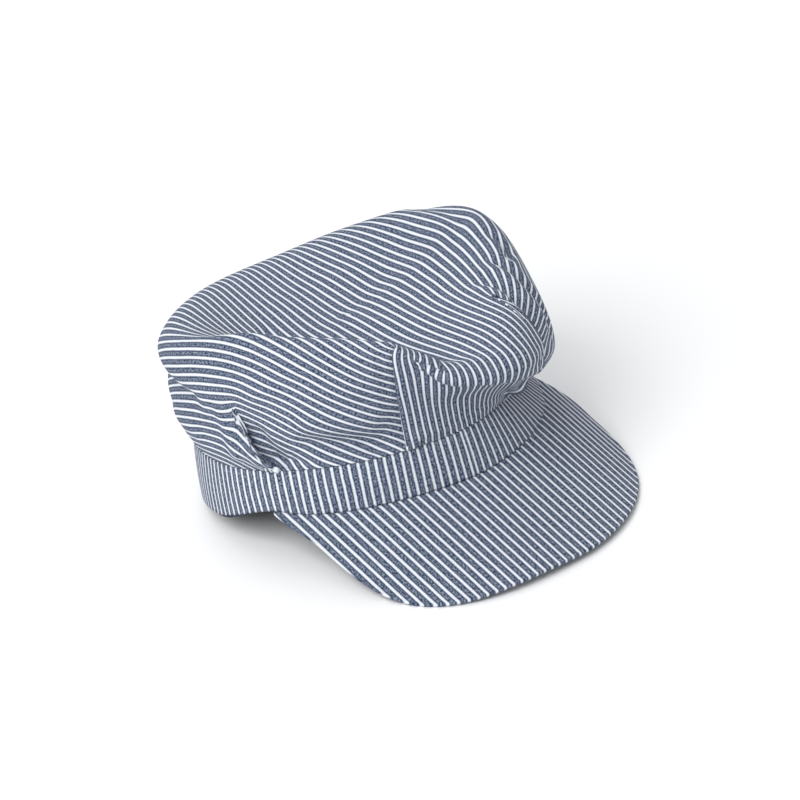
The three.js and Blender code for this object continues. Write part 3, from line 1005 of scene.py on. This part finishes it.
        def knots(values: np.ndarray, mirror: float) -> np.ndarray:
            """Runs the profile's curve through one set of knots.

            Args:
                values: the knots.
                mirror: what the last knot but one counts beyond the middle of the top.

            Returns:
                The curve's value at each point.
            """
            first = 2 * values[..., :1] - values[..., 1:2]
            over = mirror * values[..., -2:-1]
            full = np.concatenate([first, values, over], axis=-1)
            a, b, c, d = (
                np.take_along_axis(full, (knot + k)[..., None], axis=-1)[..., 0] for k in range(4)
            )
            return hermite(b, c, (c - a) / 2, (d - b) / 2, part)

        inward, drop = self.opening.slump(angle)
        loose = 1.0 - smooth_step(0.0, self.slump_reach, share)
        radius = knots(radii, -1.0) - inward * loose
        return radius, np.maximum(knots(heights, 1.0), 0.0) - drop * loose

    def smooth_point(self, angle: np.ndarray, share: np.ndarray) -> np.ndarray:
        """A point of the outer face without pleats or folds."""
        radius, height = self.bare(np.asarray(angle, float), np.asarray(share, float))
        return polar(angle, radius, self.base + height)

    def build(self) -> tuple[np.ndarray, np.ndarray, np.ndarray]:
        """Makes the outer face with its pleats and folds.

        Returns:
            Points and outward normals, columns by rows, and the cloth's chart.
        """
        plan = self.column_plan()
        share = np.linspace(0.0, self.last_share, self.rows)[None, :]
        angle = np.repeat(plan[:, :1], self.rows, axis=1)
        own = plan[:, 1].astype(int)
        opened = np.zeros_like(angle)
        for number, pleat in enumerate(self.pleats):
            folded = 1.0 - smooth_step(pleat.top - self.pleat_close, pleat.top, share)
            lean = pleat.angle_at(share) - pleat.angle
            away = np.abs(wrap_angle(plan[:, :1] - pleat.angle))
            mine = own == number
            near = np.where(mine[:, None], 1.0, 1.0 - smooth_step(0.0, self.pleat_drag, away))
            angle = angle + lean * near
            opened[mine] = folded
            angle[mine] += plan[mine, 3:4] * folded + plan[mine, 4:5] * (1.0 - folded)
        radius, height = self.bare(angle, np.broadcast_to(share, angle.shape))
        for number, pleat in enumerate(self.pleats):
            away = wrap_angle(plan[:, :1] - pleat.angle)
            upper = np.where(own[:, None] == number, plan[:, 2:3], away * pleat.over > 0)
            fade = smooth_step(pleat.top - pleat.fade, pleat.top + self.pleat_end, share)
            held = smooth_step(0.0, self.pleat_hold, share) * (1.0 - fade)
            step = upper * pleat.raised - (1.0 - upper) * (1.0 - pleat.raised)
            radius = radius + pleat.lift * step * held * np.exp(-((away / pleat.reach) ** 2))
        points = polar(angle, radius, self.base + height)
        for fold in self.folds:
            points = self._press(points, fold, share)
        normals = grid_normals(points, closed=True)
        chart = self._chart(points, normals, plan, angle, share, opened)
        return points, normals, chart

    def _press(self, points: np.ndarray, fold: Fold, share: np.ndarray) -> np.ndarray:
        """Presses one fold into the surface.

        Args:
            points: columns by rows of points.
            fold: the fold.
            share: each row's share of the way up, which fades the fold out at the band.

        Returns:
            The moved points.
        """
        knots = np.array(fold.line, float)
        steps = np.linspace(0.0, len(knots) - 1.0, self.fold_steps * (len(knots) - 1) + 1)
        angles = np.interp(steps, np.arange(len(knots)), knots[:, 0])
        shares = np.interp(steps, np.arange(len(knots)), knots[:, 1])
        line = self.smooth_point(angles, shares)
        reach = self.fold_reach * fold.width + abs(fold.height)
        low, high = line.min(axis=0) - reach, line.max(axis=0) + reach
        near = np.all((points > low) & (points < high), axis=-1)
        if not near.any():
            return points
        some = points[near]
        best = np.full(len(some), np.inf)
        place = np.zeros(len(some))
        side = np.zeros(len(some))
        normals = grid_normals(points, closed=True)[near]
        for k in range(len(line) - 1):
            run = line[k + 1] - line[k]
            t = np.clip(((some - line[k]) @ run) / (run @ run), 0.0, 1.0)
            away = some - (line[k] + t[:, None] * run)
            distance = np.linalg.norm(away, axis=-1)
            closer = distance < best
            signed = np.sign(np.einsum("ij,ij->i", np.cross(run, away), normals))
            best = np.where(closer, distance, best)
            side = np.where(closer, signed, side)
            place = np.where(closer, (k + t) / (len(line) - 1), place)
        push = fold.kind.push(best / fold.width, side)
        fade = self.fold_fade
        ends = smooth_step(0.0, fade, place) * (1.0 - smooth_step(1.0 - fade, 1.0, place))
        held = np.broadcast_to(smooth_step(0.0, self.fold_hold, share), near.shape)[near]
        moved = points.copy()
        moved[near] = some + normals * (fold.height * push * ends * held)[:, None]
        return moved

    def _chart(
        self,
        points: np.ndarray,
        normals: np.ndarray,
        plan: np.ndarray,
        angle: np.ndarray,
        share: np.ndarray,
        opened: np.ndarray,
    ) -> np.ndarray:
        """Lays the striped cloth over the surface.

        Args:
            points: columns by rows of points.
            normals: their normals.
            plan: the layout of the columns.
            angle: each point's angle.
            share: each row's share.
            opened: how open each column's pleat is at each row.

        Returns:
            The cloth's coordinates at each point.
        """
        slope = np.radians(self.run_slope)
        ahead = np.array([0.0, -np.cos(slope), -np.sin(slope)])
        forward = np.broadcast_to(ahead, points.shape).copy()
        front, back = self._panel_share(plan)
        front = (front * (1.0 - smooth_step(*FRONT_PANEL_TOP, share)))[..., None]
        back = (back * (1.0 - smooth_step(*BACK_PANEL_TOP, share)))[..., None]
        down, up = np.array(FRONT_PANEL_RUN), np.array(BACK_PANEL_RUN)
        forward = forward * (1 - front - back) + down * front + up * back
        forward = unit(forward - (forward * normals).sum(-1, keepdims=True) * normals)
        lean = np.zeros(angle.shape)
        for turn in self.turns:
            lean += turn.turn * np.exp(
                -((wrap_angle(angle - turn.angle) / turn.reach_angle) ** 2)
                - ((share - turn.share) / turn.reach_share) ** 2
            )
        lean = np.radians(lean)[..., None]
        across = np.cross(normals, forward)
        forward = forward * np.cos(lean) + across * np.sin(lean)
        # The cloth under a pleat is cut where its path turns back, so both layers lie straight.
        hidden = (plan[:, 1:2] >= 0) & (np.abs(plan[:, 2:3] - self.cut_lift) < self.cut_reach)
        cut = 1.0 - self.cut_share * (hidden * smooth_step(0.0, self.cut_ease, opened))
        return ClothRun().lay(points, normals, forward, cut) * self.fullness


# Shader node groups


class NodeGroup:
    """A shader node group that is built once and placed in several materials."""

    def __init__(self, name: str) -> None:
        """Starts an empty group.

        Args:
            name: the group's name.
        """
        self.tree = bpy.data.node_groups.new(name, "ShaderNodeTree")
        self.inputs = self.tree.nodes.new("NodeGroupInput")
        self.outputs = self.tree.nodes.new("NodeGroupOutput")

    def take(self, name: str, value: float = 0.0) -> Socket:
        """Adds an input for a number.

        Args:
            name: the input's name.
            value: its default.

        Returns:
            The socket inside the group.
        """
        socket = self.tree.interface.new_socket(
            name, in_out="INPUT", socket_type="NodeSocketFloat"
        )
        socket.default_value = value
        return self.inputs.outputs[name]

    def give(self, name: str, source: Socket) -> None:
        """Adds an output for a number.

        Args:
            name: the output's name.
            source: the socket inside the group that feeds it.
        """
        self.tree.interface.new_socket(name, in_out="OUTPUT", socket_type="NodeSocketFloat")
        self.tree.links.new(source, self.outputs.inputs[name])


class Wiring:
    """Short ways to add and join shader nodes in one tree.

    Each value may be a socket, which is joined, or a plain number, colour or vector, which is set.
    """

    def __init__(self, tree: bpy.types.NodeTree) -> None:
        """Keeps the tree that nodes are added to."""
        self.tree = tree

    def feed(self, socket: Socket, value: object) -> None:
        """Joins a socket to another, or sets its value.

        Args:
            socket: the input to feed.
            value: what feeds it.
        """
        if isinstance(value, Socket):
            self.tree.links.new(value, socket)
        else:
            socket.default_value = value

    def math(self, kind: str, *values: object) -> Socket:
        """Adds a Math node.

        Args:
            kind: its operation.
            values: its inputs.

        Returns:
            Its result.
        """
        node = self.tree.nodes.new("ShaderNodeMath")
        node.operation = kind
        for socket, value in zip(node.inputs, values):
            self.feed(socket, value)
        return node.outputs[0]

    def ramp(self, low: object, high: object, value: object) -> Socket:
        """Adds a smooth step.

        Args:
            low: where it starts to rise.
            high: where it reaches 1.
            value: where to read it.

        Returns:
            Its value, from 0 to 1.
        """
        node = self.tree.nodes.new("ShaderNodeMapRange")
        node.interpolation_type = "SMOOTHSTEP"
        self.feed(node.inputs["Value"], value)
        self.feed(node.inputs["From Min"], low)
        self.feed(node.inputs["From Max"], high)
        return node.outputs["Result"]

    def mix(self, share: object, first: object, second: object) -> Socket:
        """Mixes two colours.

        Args:
            share: how much of the second one shows.
            first: the first colour.
            second: the second colour.

        Returns:
            The mix.
        """
        node = self.tree.nodes.new("ShaderNodeMix")
        node.data_type = "RGBA"
        self.feed(node.inputs[0], share)
        self.feed(node.inputs[6], first)
        self.feed(node.inputs[7], second)
        return node.outputs[2]


@dataclass(frozen=True)
class ClothNoise:
    """A noise that is read on the cloth, by its millimetres across and along the stripes."""

    scale: float
    detail: float
    rough: float = 0.5
    across: float = 1.0  # how much faster it changes across the stripes
    along: float = 1.0  # and along them

    def add(self, wire: Wiring, across: Socket, along: Socket) -> Socket:
        """Adds the noise to a tree.

        Args:
            wire: the tree's wiring.
            across: millimetres across the stripes.
            along: millimetres along them.

        Returns:
            Its value, from 0 to 1.
        """
        place = wire.tree.nodes.new("ShaderNodeCombineXYZ")
        wire.feed(place.inputs[0], wire.math("MULTIPLY", across, self.across))
        wire.feed(place.inputs[1], wire.math("MULTIPLY", along, self.along))
        node = wire.tree.nodes.new("ShaderNodeTexNoise")
        wire.feed(node.inputs["Vector"], place.outputs[0])
        node.inputs["Scale"].default_value = self.scale
        node.inputs["Detail"].default_value = self.detail
        node.inputs["Roughness"].default_value = self.rough
        return node.outputs["Fac"]


@dataclass(frozen=True)
class HickoryStripe:
    """The group that tells white lines from blue ones."""

    pitch: float = STRIPE_PITCH
    softness: float = 0.085
    deepest: float = 0.42  # how far from a white line's middle, in pitches, the blue is full
    drift: ClothNoise = ClothNoise(0.12, 3.0, along=0.3)  # the slow bend of a line
    ragged: ClothNoise = ClothNoise(1.1, 1.0, along=1.6)  # its uneven edge
    ragged_share: float = 0.8

    def build(self) -> bpy.types.NodeTree:
        """Builds the group.

        Returns:
            A group that takes cloth millimetres across and along, and gives the white mask and
            how deep inside a blue line a place lies.
        """
        group = NodeGroup("hickory_stripe")
        wire = Wiring(group.tree)
        across, along = group.take("Across mm"), group.take("Along mm")
        pitch = group.take("Pitch mm", self.pitch)
        white = group.take("White share")
        soft = group.take("Edge softness", self.softness)
        wander = group.take("Wander mm")
        slow = wire.math("SUBTRACT", self.drift.add(wire, across, along), 0.5)
        ragged = self.ragged.add(wire, across, along)
        uneven = wire.math("MULTIPLY_ADD", ragged, self.ragged_share, -self.ragged_share / 2)
        moved = wire.math("MULTIPLY_ADD", wire.math("ADD", slow, uneven), wander, across)
        turn = wire.math("FRACT", wire.math("DIVIDE", moved, pitch))
        from_middle = wire.math("ABSOLUTE", wire.math("SUBTRACT", turn, 0.5))
        edge = wire.math("MULTIPLY", white, 0.5)
        low = wire.math("SUBTRACT", edge, soft)
        high = wire.math("ADD", edge, soft)
        mask = wire.math("SUBTRACT", 1.0, wire.ramp(low, high, from_middle))
        group.give("White", mask)
        group.give("Blue depth", wire.ramp(high, self.deepest, from_middle))
        return group.tree


@dataclass(frozen=True)
class TwillWeave:
    """The group for the cloth's weave and for the uneven dye of its yarns."""

    yarn: float = 0.36
    yarns_per_rib: float = 3.0
    slub: ClothNoise = ClothNoise(1.0, 3.0, 0.7, across=2.4)  # thick and thin yarns
    fleck: ClothNoise = ClothNoise(1.2, 3.0, 0.75, along=0.6)  # pale flecks in the dye

    def build(self) -> bpy.types.NodeTree:
        """Builds the group.

        Returns:
            A group that takes cloth millimetres across and along, and gives the twill's height,
            its thick and thin yarns, and the flecks in its dye.
        """
        group = NodeGroup("twill_weave")
        wire = Wiring(group.tree)
        across, along = group.take("Across mm"), group.take("Along mm")
        yarn = group.take("Yarn mm", self.yarn)
        # A warp yarn and a weft yarn cross at each cell, and each row of cells is one yarn along.
        warp = wire.math("DIVIDE", across, yarn)
        weft = wire.math("DIVIDE", along, yarn)
        ribs = wire.math("DIVIDE", wire.math("ADD", warp, weft), self.yarns_per_rib)
        slant = wire.math("FRACT", ribs)
        rise = wire.math("SINE", wire.math("MULTIPLY", slant, HALF_WAVE))
        thread = wire.math("ABSOLUTE", wire.math("SINE", wire.math("MULTIPLY", warp, HALF_WAVE)))
        height = wire.math("MULTIPLY", rise, wire.math("MULTIPLY_ADD", thread, 0.5, 0.5))
        group.give("Height", height)
        group.give("Slub", self.slub.add(wire, across, along))
        group.give("Fleck", self.fleck.add(wire, across, along))
        return group.tree


class ClothNodes:
    """A woven material's shader, its cloth millimetres and its weave."""

    def __init__(self, name: str, weave: bpy.types.NodeTree) -> None:
        """Makes the material.

        Args:
            name: its name.
            weave: the weave group.
        """
        self.material = bpy.data.materials.new(name)
        self.material.use_nodes = True
        self.tree = self.material.node_tree
        self.wire = Wiring(self.tree)
        self.shader = self.tree.nodes["Principled BSDF"]
        uv = self.tree.nodes.new("ShaderNodeUVMap")
        uv.uv_map = CLOTH_MAP
        scaled = self.tree.nodes.new("ShaderNodeVectorMath")
        scaled.operation = "SCALE"
        self.wire.feed(scaled.inputs[0], uv.outputs[0])
        scaled.inputs["Scale"].default_value = 1.0 / MM
        split = self.tree.nodes.new("ShaderNodeSeparateXYZ")
        self.wire.feed(split.inputs[0], scaled.outputs[0])
        self.across, self.along = split.outputs[0], split.outputs[1]
        self.weave = self.place(weave)

    def place(self, group: bpy.types.NodeTree) -> bpy.types.ShaderNodeGroup:
        """Places a group that takes the cloth's millimetres.

        Args:
            group: the group.

        Returns:
            Its node in the material.
        """
        node = self.tree.nodes.new("ShaderNodeGroup")
        node.node_tree = group
        self.wire.feed(node.inputs["Across mm"], self.across)
        self.wire.feed(node.inputs["Along mm"], self.along)
        return node

    def finish(
        self, colour: Socket, roughness: float, bump_strength: float, bump_metres: float
    ) -> bpy.types.Material:
        """Joins the colour and the weave's relief to the shader.

        Args:
            colour: the cloth's colour.
            roughness: its roughness.
            bump_strength: how strongly the weave shows.
            bump_metres: the height of its relief.

        Returns:
            The material.
        """
        self.wire.feed(self.shader.inputs["Base Color"], colour)
        self.shader.inputs["Roughness"].default_value = roughness
        bump = self.tree.nodes.new("ShaderNodeBump")
        bump.inputs["Strength"].default_value = bump_strength
        bump.inputs["Distance"].default_value = bump_metres
        self.wire.feed(bump.inputs["Height"], self.weave.outputs["Height"])
        self.wire.feed(self.shader.inputs["Normal"], bump.outputs[0])
        return self.material


@dataclass(frozen=True)
class StripedCotton:
    """The hickory-stripe cotton, as it looks on one piece."""

    name: str
    blue: Colour = (0.014, 0.036, 0.076, 1.0)
    pale_blue: Colour = (0.26, 0.285, 0.37, 1.0)
    white: Colour = (0.8, 0.82, 0.86, 1.0)
    thin_white: tuple[float, float, float] = (0.8, 0.82, 0.87)  # times the white, at thin yarns
    white_share: float = 0.31
    wander: float = 0.6
    fleck_from: float = 0.41
    fleck_full: float = 0.6
    fleck_at_edge: float = 0.25  # how much of the flecks shows at a blue line's edge
    thin_from: float = 0.3
    thin_full: float = 0.75
    roughness: float = 0.92
    specular: float = 0.2
    sheen: float = 0.02
    bump_strength: float = 0.35
    bump_metres: float = 0.00012

    def make(self, stripe: bpy.types.NodeTree, weave: bpy.types.NodeTree) -> bpy.types.Material:
        """Makes the material.

        Args:
            stripe: the stripe group.
            weave: the weave group.

        Returns:
            The material.
        """
        cloth = ClothNodes(self.name, weave)
        wire = cloth.wire
        stripes = cloth.place(stripe)
        stripes.inputs["White share"].default_value = self.white_share
        stripes.inputs["Wander mm"].default_value = self.wander
        fleck = wire.ramp(self.fleck_from, self.fleck_full, cloth.weave.outputs["Fleck"])
        edge = self.fleck_at_edge
        inside = wire.math("MULTIPLY_ADD", stripes.outputs["Blue depth"], 1.0 - edge, edge)
        dyed = wire.mix(wire.math("MULTIPLY", fleck, inside), self.blue, self.pale_blue)
        thin = wire.ramp(self.thin_from, self.thin_full, cloth.weave.outputs["Slub"])
        dull = (*(white * part for white, part in zip(self.white, self.thin_white)), 1.0)
        bleached = wire.mix(thin, self.white, dull)
        colour = wire.mix(stripes.outputs["White"], dyed, bleached)
        cloth.shader.inputs["Specular IOR Level"].default_value = self.specular
        cloth.shader.inputs["Sheen Weight"].default_value = self.sheen
        return cloth.finish(colour, self.roughness, self.bump_strength, self.bump_metres)


@dataclass(frozen=True)
class PlainTape:
    """The navy tape inside the band."""

    name: str
    colour: Colour = (0.012, 0.022, 0.06, 1.0)
    worn: Colour = (0.03, 0.045, 0.1, 1.0)
    roughness: float = 0.85
    bump_strength: float = 0.4
    bump_metres: float = 0.00015

    def make(self, weave: bpy.types.NodeTree) -> bpy.types.Material:
        """Makes the material.

        Args:
            weave: the weave group.

        Returns:
            The material.
        """
        cloth = ClothNodes(self.name, weave)
        colour = cloth.wire.mix(cloth.weave.outputs["Slub"], self.colour, self.worn)
        return cloth.finish(colour, self.roughness, self.bump_strength, self.bump_metres)


# The pieces


@dataclass
class Crown:
    """The puffed and slumped top of the cap."""

    form: CrownForm
    inside_step: int = 2

    def build(self) -> bpy.types.Object:
        """Makes the crown's cloth wall.

        Returns:
            The crown, open below, with its outer and inner faces.
        """
        points, normals, chart = self.form.build()
        inside = (points - normals * self.form.wall)[:, :: self.inside_step]
        grid = np.concatenate([inside[:, ::-1], points], axis=1)
        laid = np.concatenate([chart[:, :: self.inside_step][:, ::-1], chart], axis=1)
        laid = np.concatenate([laid, laid[:1]], axis=0)
        return grid_object("crown_cloth", grid, laid, Wrap.ROUND, poles=True)


@dataclass
class Band:
    """The upright strip round the head, gathered at the back."""

    opening: HeadOpening
    brim: BrimForm
    wall: float = 2.2
    bulge: float = 0.5
    foot_from: float = 2.0  # degrees past the brim's joint where the lower edge leaves the brim
    foot_full: float = 32.0  # and where it has come down all the way
    columns: int = 720
    rows: int = 22

    @property
    def height(self) -> float:
        """The band's height."""
        return self.opening.band_height

    def foot(self, angle: np.ndarray, inset: float) -> np.ndarray:
        """Reads the height of the lower edge, which follows the brim where it is sewn on.

        Args:
            angle: degrees from the front.
            inset: millimetres in from the band's outer face.

        Returns:
            Millimetres above the band's lower plane.
        """
        turned = np.abs(wrap_angle(angle))
        start = self.brim.side_start
        along = 1.0 - smooth_step(start + self.foot_from, start + self.foot_full, turned)
        joined = np.clip(wrap_angle(angle), -start, start)
        edge = polar(joined, self.opening.radius(joined, inset), np.zeros_like(turned))
        rows = np.array(BAND_SAG, float)
        sag = round_table(rows[:, 0], rows[:, 1:], angle)[..., 0]
        on_brim = self.brim.height(edge[..., 0], edge[..., 1]) + self.opening.seam_gap
        return along * on_brim - sag

    def wall_points(
        self, angle: np.ndarray, up: np.ndarray, inset: float, bulge: np.ndarray | float = 0.0
    ) -> np.ndarray:
        """Points of the band's wall, or of a wall inside it.

        Args:
            angle: degrees from the front, one row each.
            up: shares of the band's height, in one row or in a row for each angle.
            inset: millimetres in from the band's outer face.
            bulge: millimetres out from it.

        Returns:
            Points, rows by columns.
        """
        inward, drop = self.opening.slump(angle)
        foot = self.foot(angle, inset)
        radius = self.opening.radius(angle, inset) + self.opening.gather(angle) + bulge
        height = foot + (self.height - foot) * up - drop * up
        spread = np.broadcast_to(angle, (len(angle), up.shape[1]))
        return polar(spread, radius - inward * up, height)

    def build(self) -> bpy.types.Object:
        """Makes the band.

        Returns:
            The band, as a closed ring.
        """
        angle = np.linspace(0.0, 360.0, self.columns, endpoint=False)[:, None]
        up = np.linspace(0.0, 1.0, self.rows)[None, :]
        outer = self.wall_points(angle, up, 0.0, self.bulge * np.sin(np.pi * up))
        inner = self.wall_points(angle, np.array([WALL_STEPS]), self.wall)
        grid = np.concatenate([outer, inner], axis=1)
        rise = np.concatenate([up[0] * self.height, WALL_STEPS, [0.0]])
        return grid_object("band_cloth", grid, round_chart(outer[:, 0], rise), Wrap.TUBE)


@dataclass
class InnerTape:
    """The navy tape sewn inside the band."""

    band: Band
    wall: float = 1.1
    height: float = 21.0
    drop: float = 2.0  # how far it shows below the band at the sides
    rise: float = 1.5  # how far it stands back inside the elastic
    shown_from: float = 2.0  # degrees past the brim's joint where it starts to show
    shown_full: float = 10.0
    elastic_fade: float = 20.0

    def build(self) -> bpy.types.Object:
        """Makes the tape.

        Returns:
            The tape, as a closed ring.
        """
        band = self.band
        angle = np.linspace(0.0, 360.0, band.columns, endpoint=False)[:, None]
        turned = np.abs(wrap_angle(angle))
        joint = band.brim.side_start
        shown = smooth_step(joint + self.shown_from, joint + self.shown_full, turned)
        start = band.opening.gather_start
        elastic = smooth_step(start - self.elastic_fade, start, turned)
        low = ((self.drop + self.rise) * elastic - self.drop * shown) / band.height
        high = self.height / band.height
        up = np.concatenate([low, np.full_like(low, high)], axis=1)
        inset = band.wall + band.opening.seam_gap
        outer = band.wall_points(angle, up, inset)
        inner = band.wall_points(angle, up[:, ::-1], inset + self.wall)
        grid = np.concatenate([outer, inner], axis=1)
        rise = np.array([0.0, 1.0, 1.0, 0.0, 0.0]) * self.height
        return grid_object("inner_tape_cloth", grid, round_chart(outer[:, 0], rise), Wrap.TUBE)


@dataclass
class Brim:
    """The stiff visor, covered in cloth above and below."""

    form: BrimForm
    band_wall: float
    thickness: float = 2.2
    columns: int = 240
    rows: int = 70
    rim_steps: int = 9
    chart_half: float = 100.0  # how far to each side its stripes are worked out
    chart_steps: int = 801

    def build(self) -> bpy.types.Object:
        """Makes the brim.

        Returns:
            The brim, as one sheet that folds round its outer edge.
        """
        share = np.linspace(0.0, 1.0, self.columns)[:, None]
        angle = self.form.side_start * (1.0 - 2.0 * share)
        inner_radius = self.form.opening.radius(angle, self.band_wall)
        inner = polar(angle, inner_radius, np.zeros_like(angle))
        edge_x, edge_y = self.form.edge(share)
        run_x, run_y = edge_x - inner[..., 0], edge_y - inner[..., 1]
        along = np.linspace(0.0, 1.0, self.rows)[None, :]
        x = inner[..., 0] + run_x * along
        y = inner[..., 1] + run_y * along
        z = self.form.height(x, y)
        upper = np.stack([x, y, z], axis=-1)
        half = self.thickness / 2
        turn = np.linspace(0.0, np.pi, self.rim_steps)[None, 1:-1]
        out = unit(np.concatenate([run_x, run_y], axis=1))
        rim = np.stack(
            [
                edge_x + out[:, :1] * half * np.sin(turn),
                edge_y + out[:, 1:2] * half * np.sin(turn),
                z[:, -1:] - half + half * np.cos(turn),
            ],
            axis=-1,
        )
        lower = upper[:, ::-1].copy()
        lower[..., 2] -= self.thickness
        grid = np.concatenate([upper, rim, lower], axis=1)
        return grid_object("brim_cloth", grid[::-1], self._chart(grid[::-1]), Wrap.OPEN)

    def _chart(self, grid: np.ndarray) -> np.ndarray:
        """Runs the stripes straight forward, at their true spacing over the arch.

        Args:
            grid: points of the sheet.

        Returns:
            Millimetres across and along the stripes.
        """
        reach = np.linspace(-self.chart_half, self.chart_half, self.chart_steps)
        drop = self.form.arch(reach)
        length = np.concatenate([[0.0], np.cumsum(np.hypot(np.diff(reach), np.diff(drop)))])
        length -= np.interp(0.0, reach, length)
        across = np.interp(grid[..., 0], reach, length)
        along = -grid[..., 1] / np.cos(np.radians(self.form.slope))
        return np.stack([across, along], axis=-1)


# The studio


@dataclass(frozen=True)
class PhotoCamera:
    """The photograph's view, as found from the cap's outline."""

    right: tuple[float, float, float] = (0.789, -0.580, -0.202)
    up: tuple[float, float, float] = (0.347, 0.149, 0.926)
    pixels_per_mm: float = 1.993
    cap_pixel: tuple[float, float] = (373.0, 447.0)
    distance: float = 2600.0
    sensor: float = 36.0
    clip_metres: float = 50.0

    def build(self) -> bpy.types.Object:
        """Makes the camera and puts it in use.

        Returns:
            The camera.
        """
        turn = REST.matrix()
        right = unit(turn @ np.array(self.right))
        up = turn @ np.array(self.up)
        up = unit(up - (up @ right) * right)
        back = np.cross(right, up)
        middle = REST.place(np.zeros(3)) / MM
        half = FRAME_PIXELS / 2
        aim = (
            middle
            + right * (half - self.cap_pixel[0]) / self.pixels_per_mm
            - up * (half - self.cap_pixel[1]) / self.pixels_per_mm
        )
        place = (aim + back * self.distance) * MM
        camera = bpy.data.cameras.new("photo_camera")
        camera.sensor_width = self.sensor
        camera.lens = self.pixels_per_mm * self.distance / FRAME_PIXELS * self.sensor
        camera.clip_end = self.clip_metres
        made = bpy.data.objects.new("photo_camera", camera)
        matrix = Matrix.Identity(4)
        for column, axis in enumerate((right, up, back)):
            for row in range(3):
                matrix[row][column] = float(axis[row])
        matrix.translation = Vector([float(v) for v in place])
        made.matrix_world = matrix
        bpy.context.scene.collection.objects.link(made)
        bpy.context.scene.camera = made
        return made


@dataclass(frozen=True)
class SoftLamp:
    """A large square lamp that faces a point of the cap."""

    name: str
    place: tuple[float, float, float]
    size: float
    watts: float
    aim: tuple[float, float, float] = (0.0, 0.0, 0.05)

    def build(self) -> bpy.types.Object:
        """Makes the lamp.

        Returns:
            The lamp, turned to its aim.
        """
        lamp = bpy.data.lights.new(self.name, "AREA")
        lamp.size = self.size
        lamp.energy = self.watts
        made = bpy.data.objects.new(self.name, lamp)
        made.location = self.place
        way = Vector(self.aim) - Vector(self.place)
        made.rotation_euler = way.to_track_quat("-Z", "Y").to_euler()
        bpy.context.scene.collection.objects.link(made)
        return made


@dataclass(frozen=True)
class Studio:
    """The pale floor, the even white surroundings and the lamps."""

    floor_half: float = 6.0
    floor_colour: Colour = (0.95, 0.95, 0.95, 1.0)
    floor_roughness: float = 0.9
    sky: Colour = (0.96, 0.98, 1.0, 1.0)
    sky_strength: float = 0.6
    lamps: tuple[SoftLamp, ...] = (
        SoftLamp("key_lamp", (-1.25, -0.4, 1.35), 1.5, 26.0),
        SoftLamp("back_lamp", (0.5, 1.2, 1.5), 1.2, 10.0),
    )

    def build(self) -> None:
        """Makes the studio."""
        half = self.floor_half
        mesh = bpy.data.meshes.new("floor")
        mesh.from_pydata(
            [(-half, -half, 0), (half, -half, 0), (half, half, 0), (-half, half, 0)],
            [],
            [(0, 1, 2, 3)],
        )
        floor = bpy.data.objects.new("floor", mesh)
        bpy.context.scene.collection.objects.link(floor)
        material = bpy.data.materials.new("pale_floor")
        material.use_nodes = True
        shader = material.node_tree.nodes["Principled BSDF"]
        shader.inputs["Base Color"].default_value = self.floor_colour
        shader.inputs["Roughness"].default_value = self.floor_roughness
        mesh.materials.append(material)
        world = bpy.data.worlds.new("studio")
        world.use_nodes = True
        sky = world.node_tree.nodes["Background"]
        sky.inputs[0].default_value = self.sky
        sky.inputs[1].default_value = self.sky_strength
        bpy.context.scene.world = world
        bpy.context.scene.view_settings.view_transform = "Standard"
        for lamp in self.lamps:
            lamp.build()


@dataclass
class Cap:
    """The whole cap."""

    opening: HeadOpening = field(default_factory=HeadOpening)

    def build(self) -> None:
        """Builds and dresses each piece, and stands it in for its solid."""
        brim = BrimForm(self.opening)
        band = Band(self.opening, brim)
        stripe, weave = HickoryStripe().build(), TwillWeave().build()
        crown_cotton = StripedCotton("crown_cotton").make(stripe, weave)
        band_cotton = StripedCotton("band_cotton", wander=1.3).make(stripe, weave)
        brim_cotton = StripedCotton("brim_cotton").make(stripe, weave)
        tape = PlainTape("navy_tape").make(weave)
        pieces = (
            (Crown(CrownForm(self.opening)).build(), "crown", "crown_cloth", crown_cotton),
            (band.build(), "band", "band_cloth", band_cotton),
            (InnerTape(band).build(), "inner_tape", "tape", tape),
            (Brim(brim, band.wall).build(), "brim", "brim_cloth", brim_cotton),
        )
        for piece, node, slot, material in pieces:
            piece.data.materials.append(material)
            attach(piece, "root")
            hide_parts(node)
            LOG.info("%s: %d faces", piece.name, len(piece.data.polygons))


def main() -> None:
    """Builds the scene."""
    logging.basicConfig(level=logging.INFO, format="%(name)s: %(message)s")
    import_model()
    PhotoCamera().build()
    Studio().build()
    Cap().build()


if __name__ == "__main__":
    main()
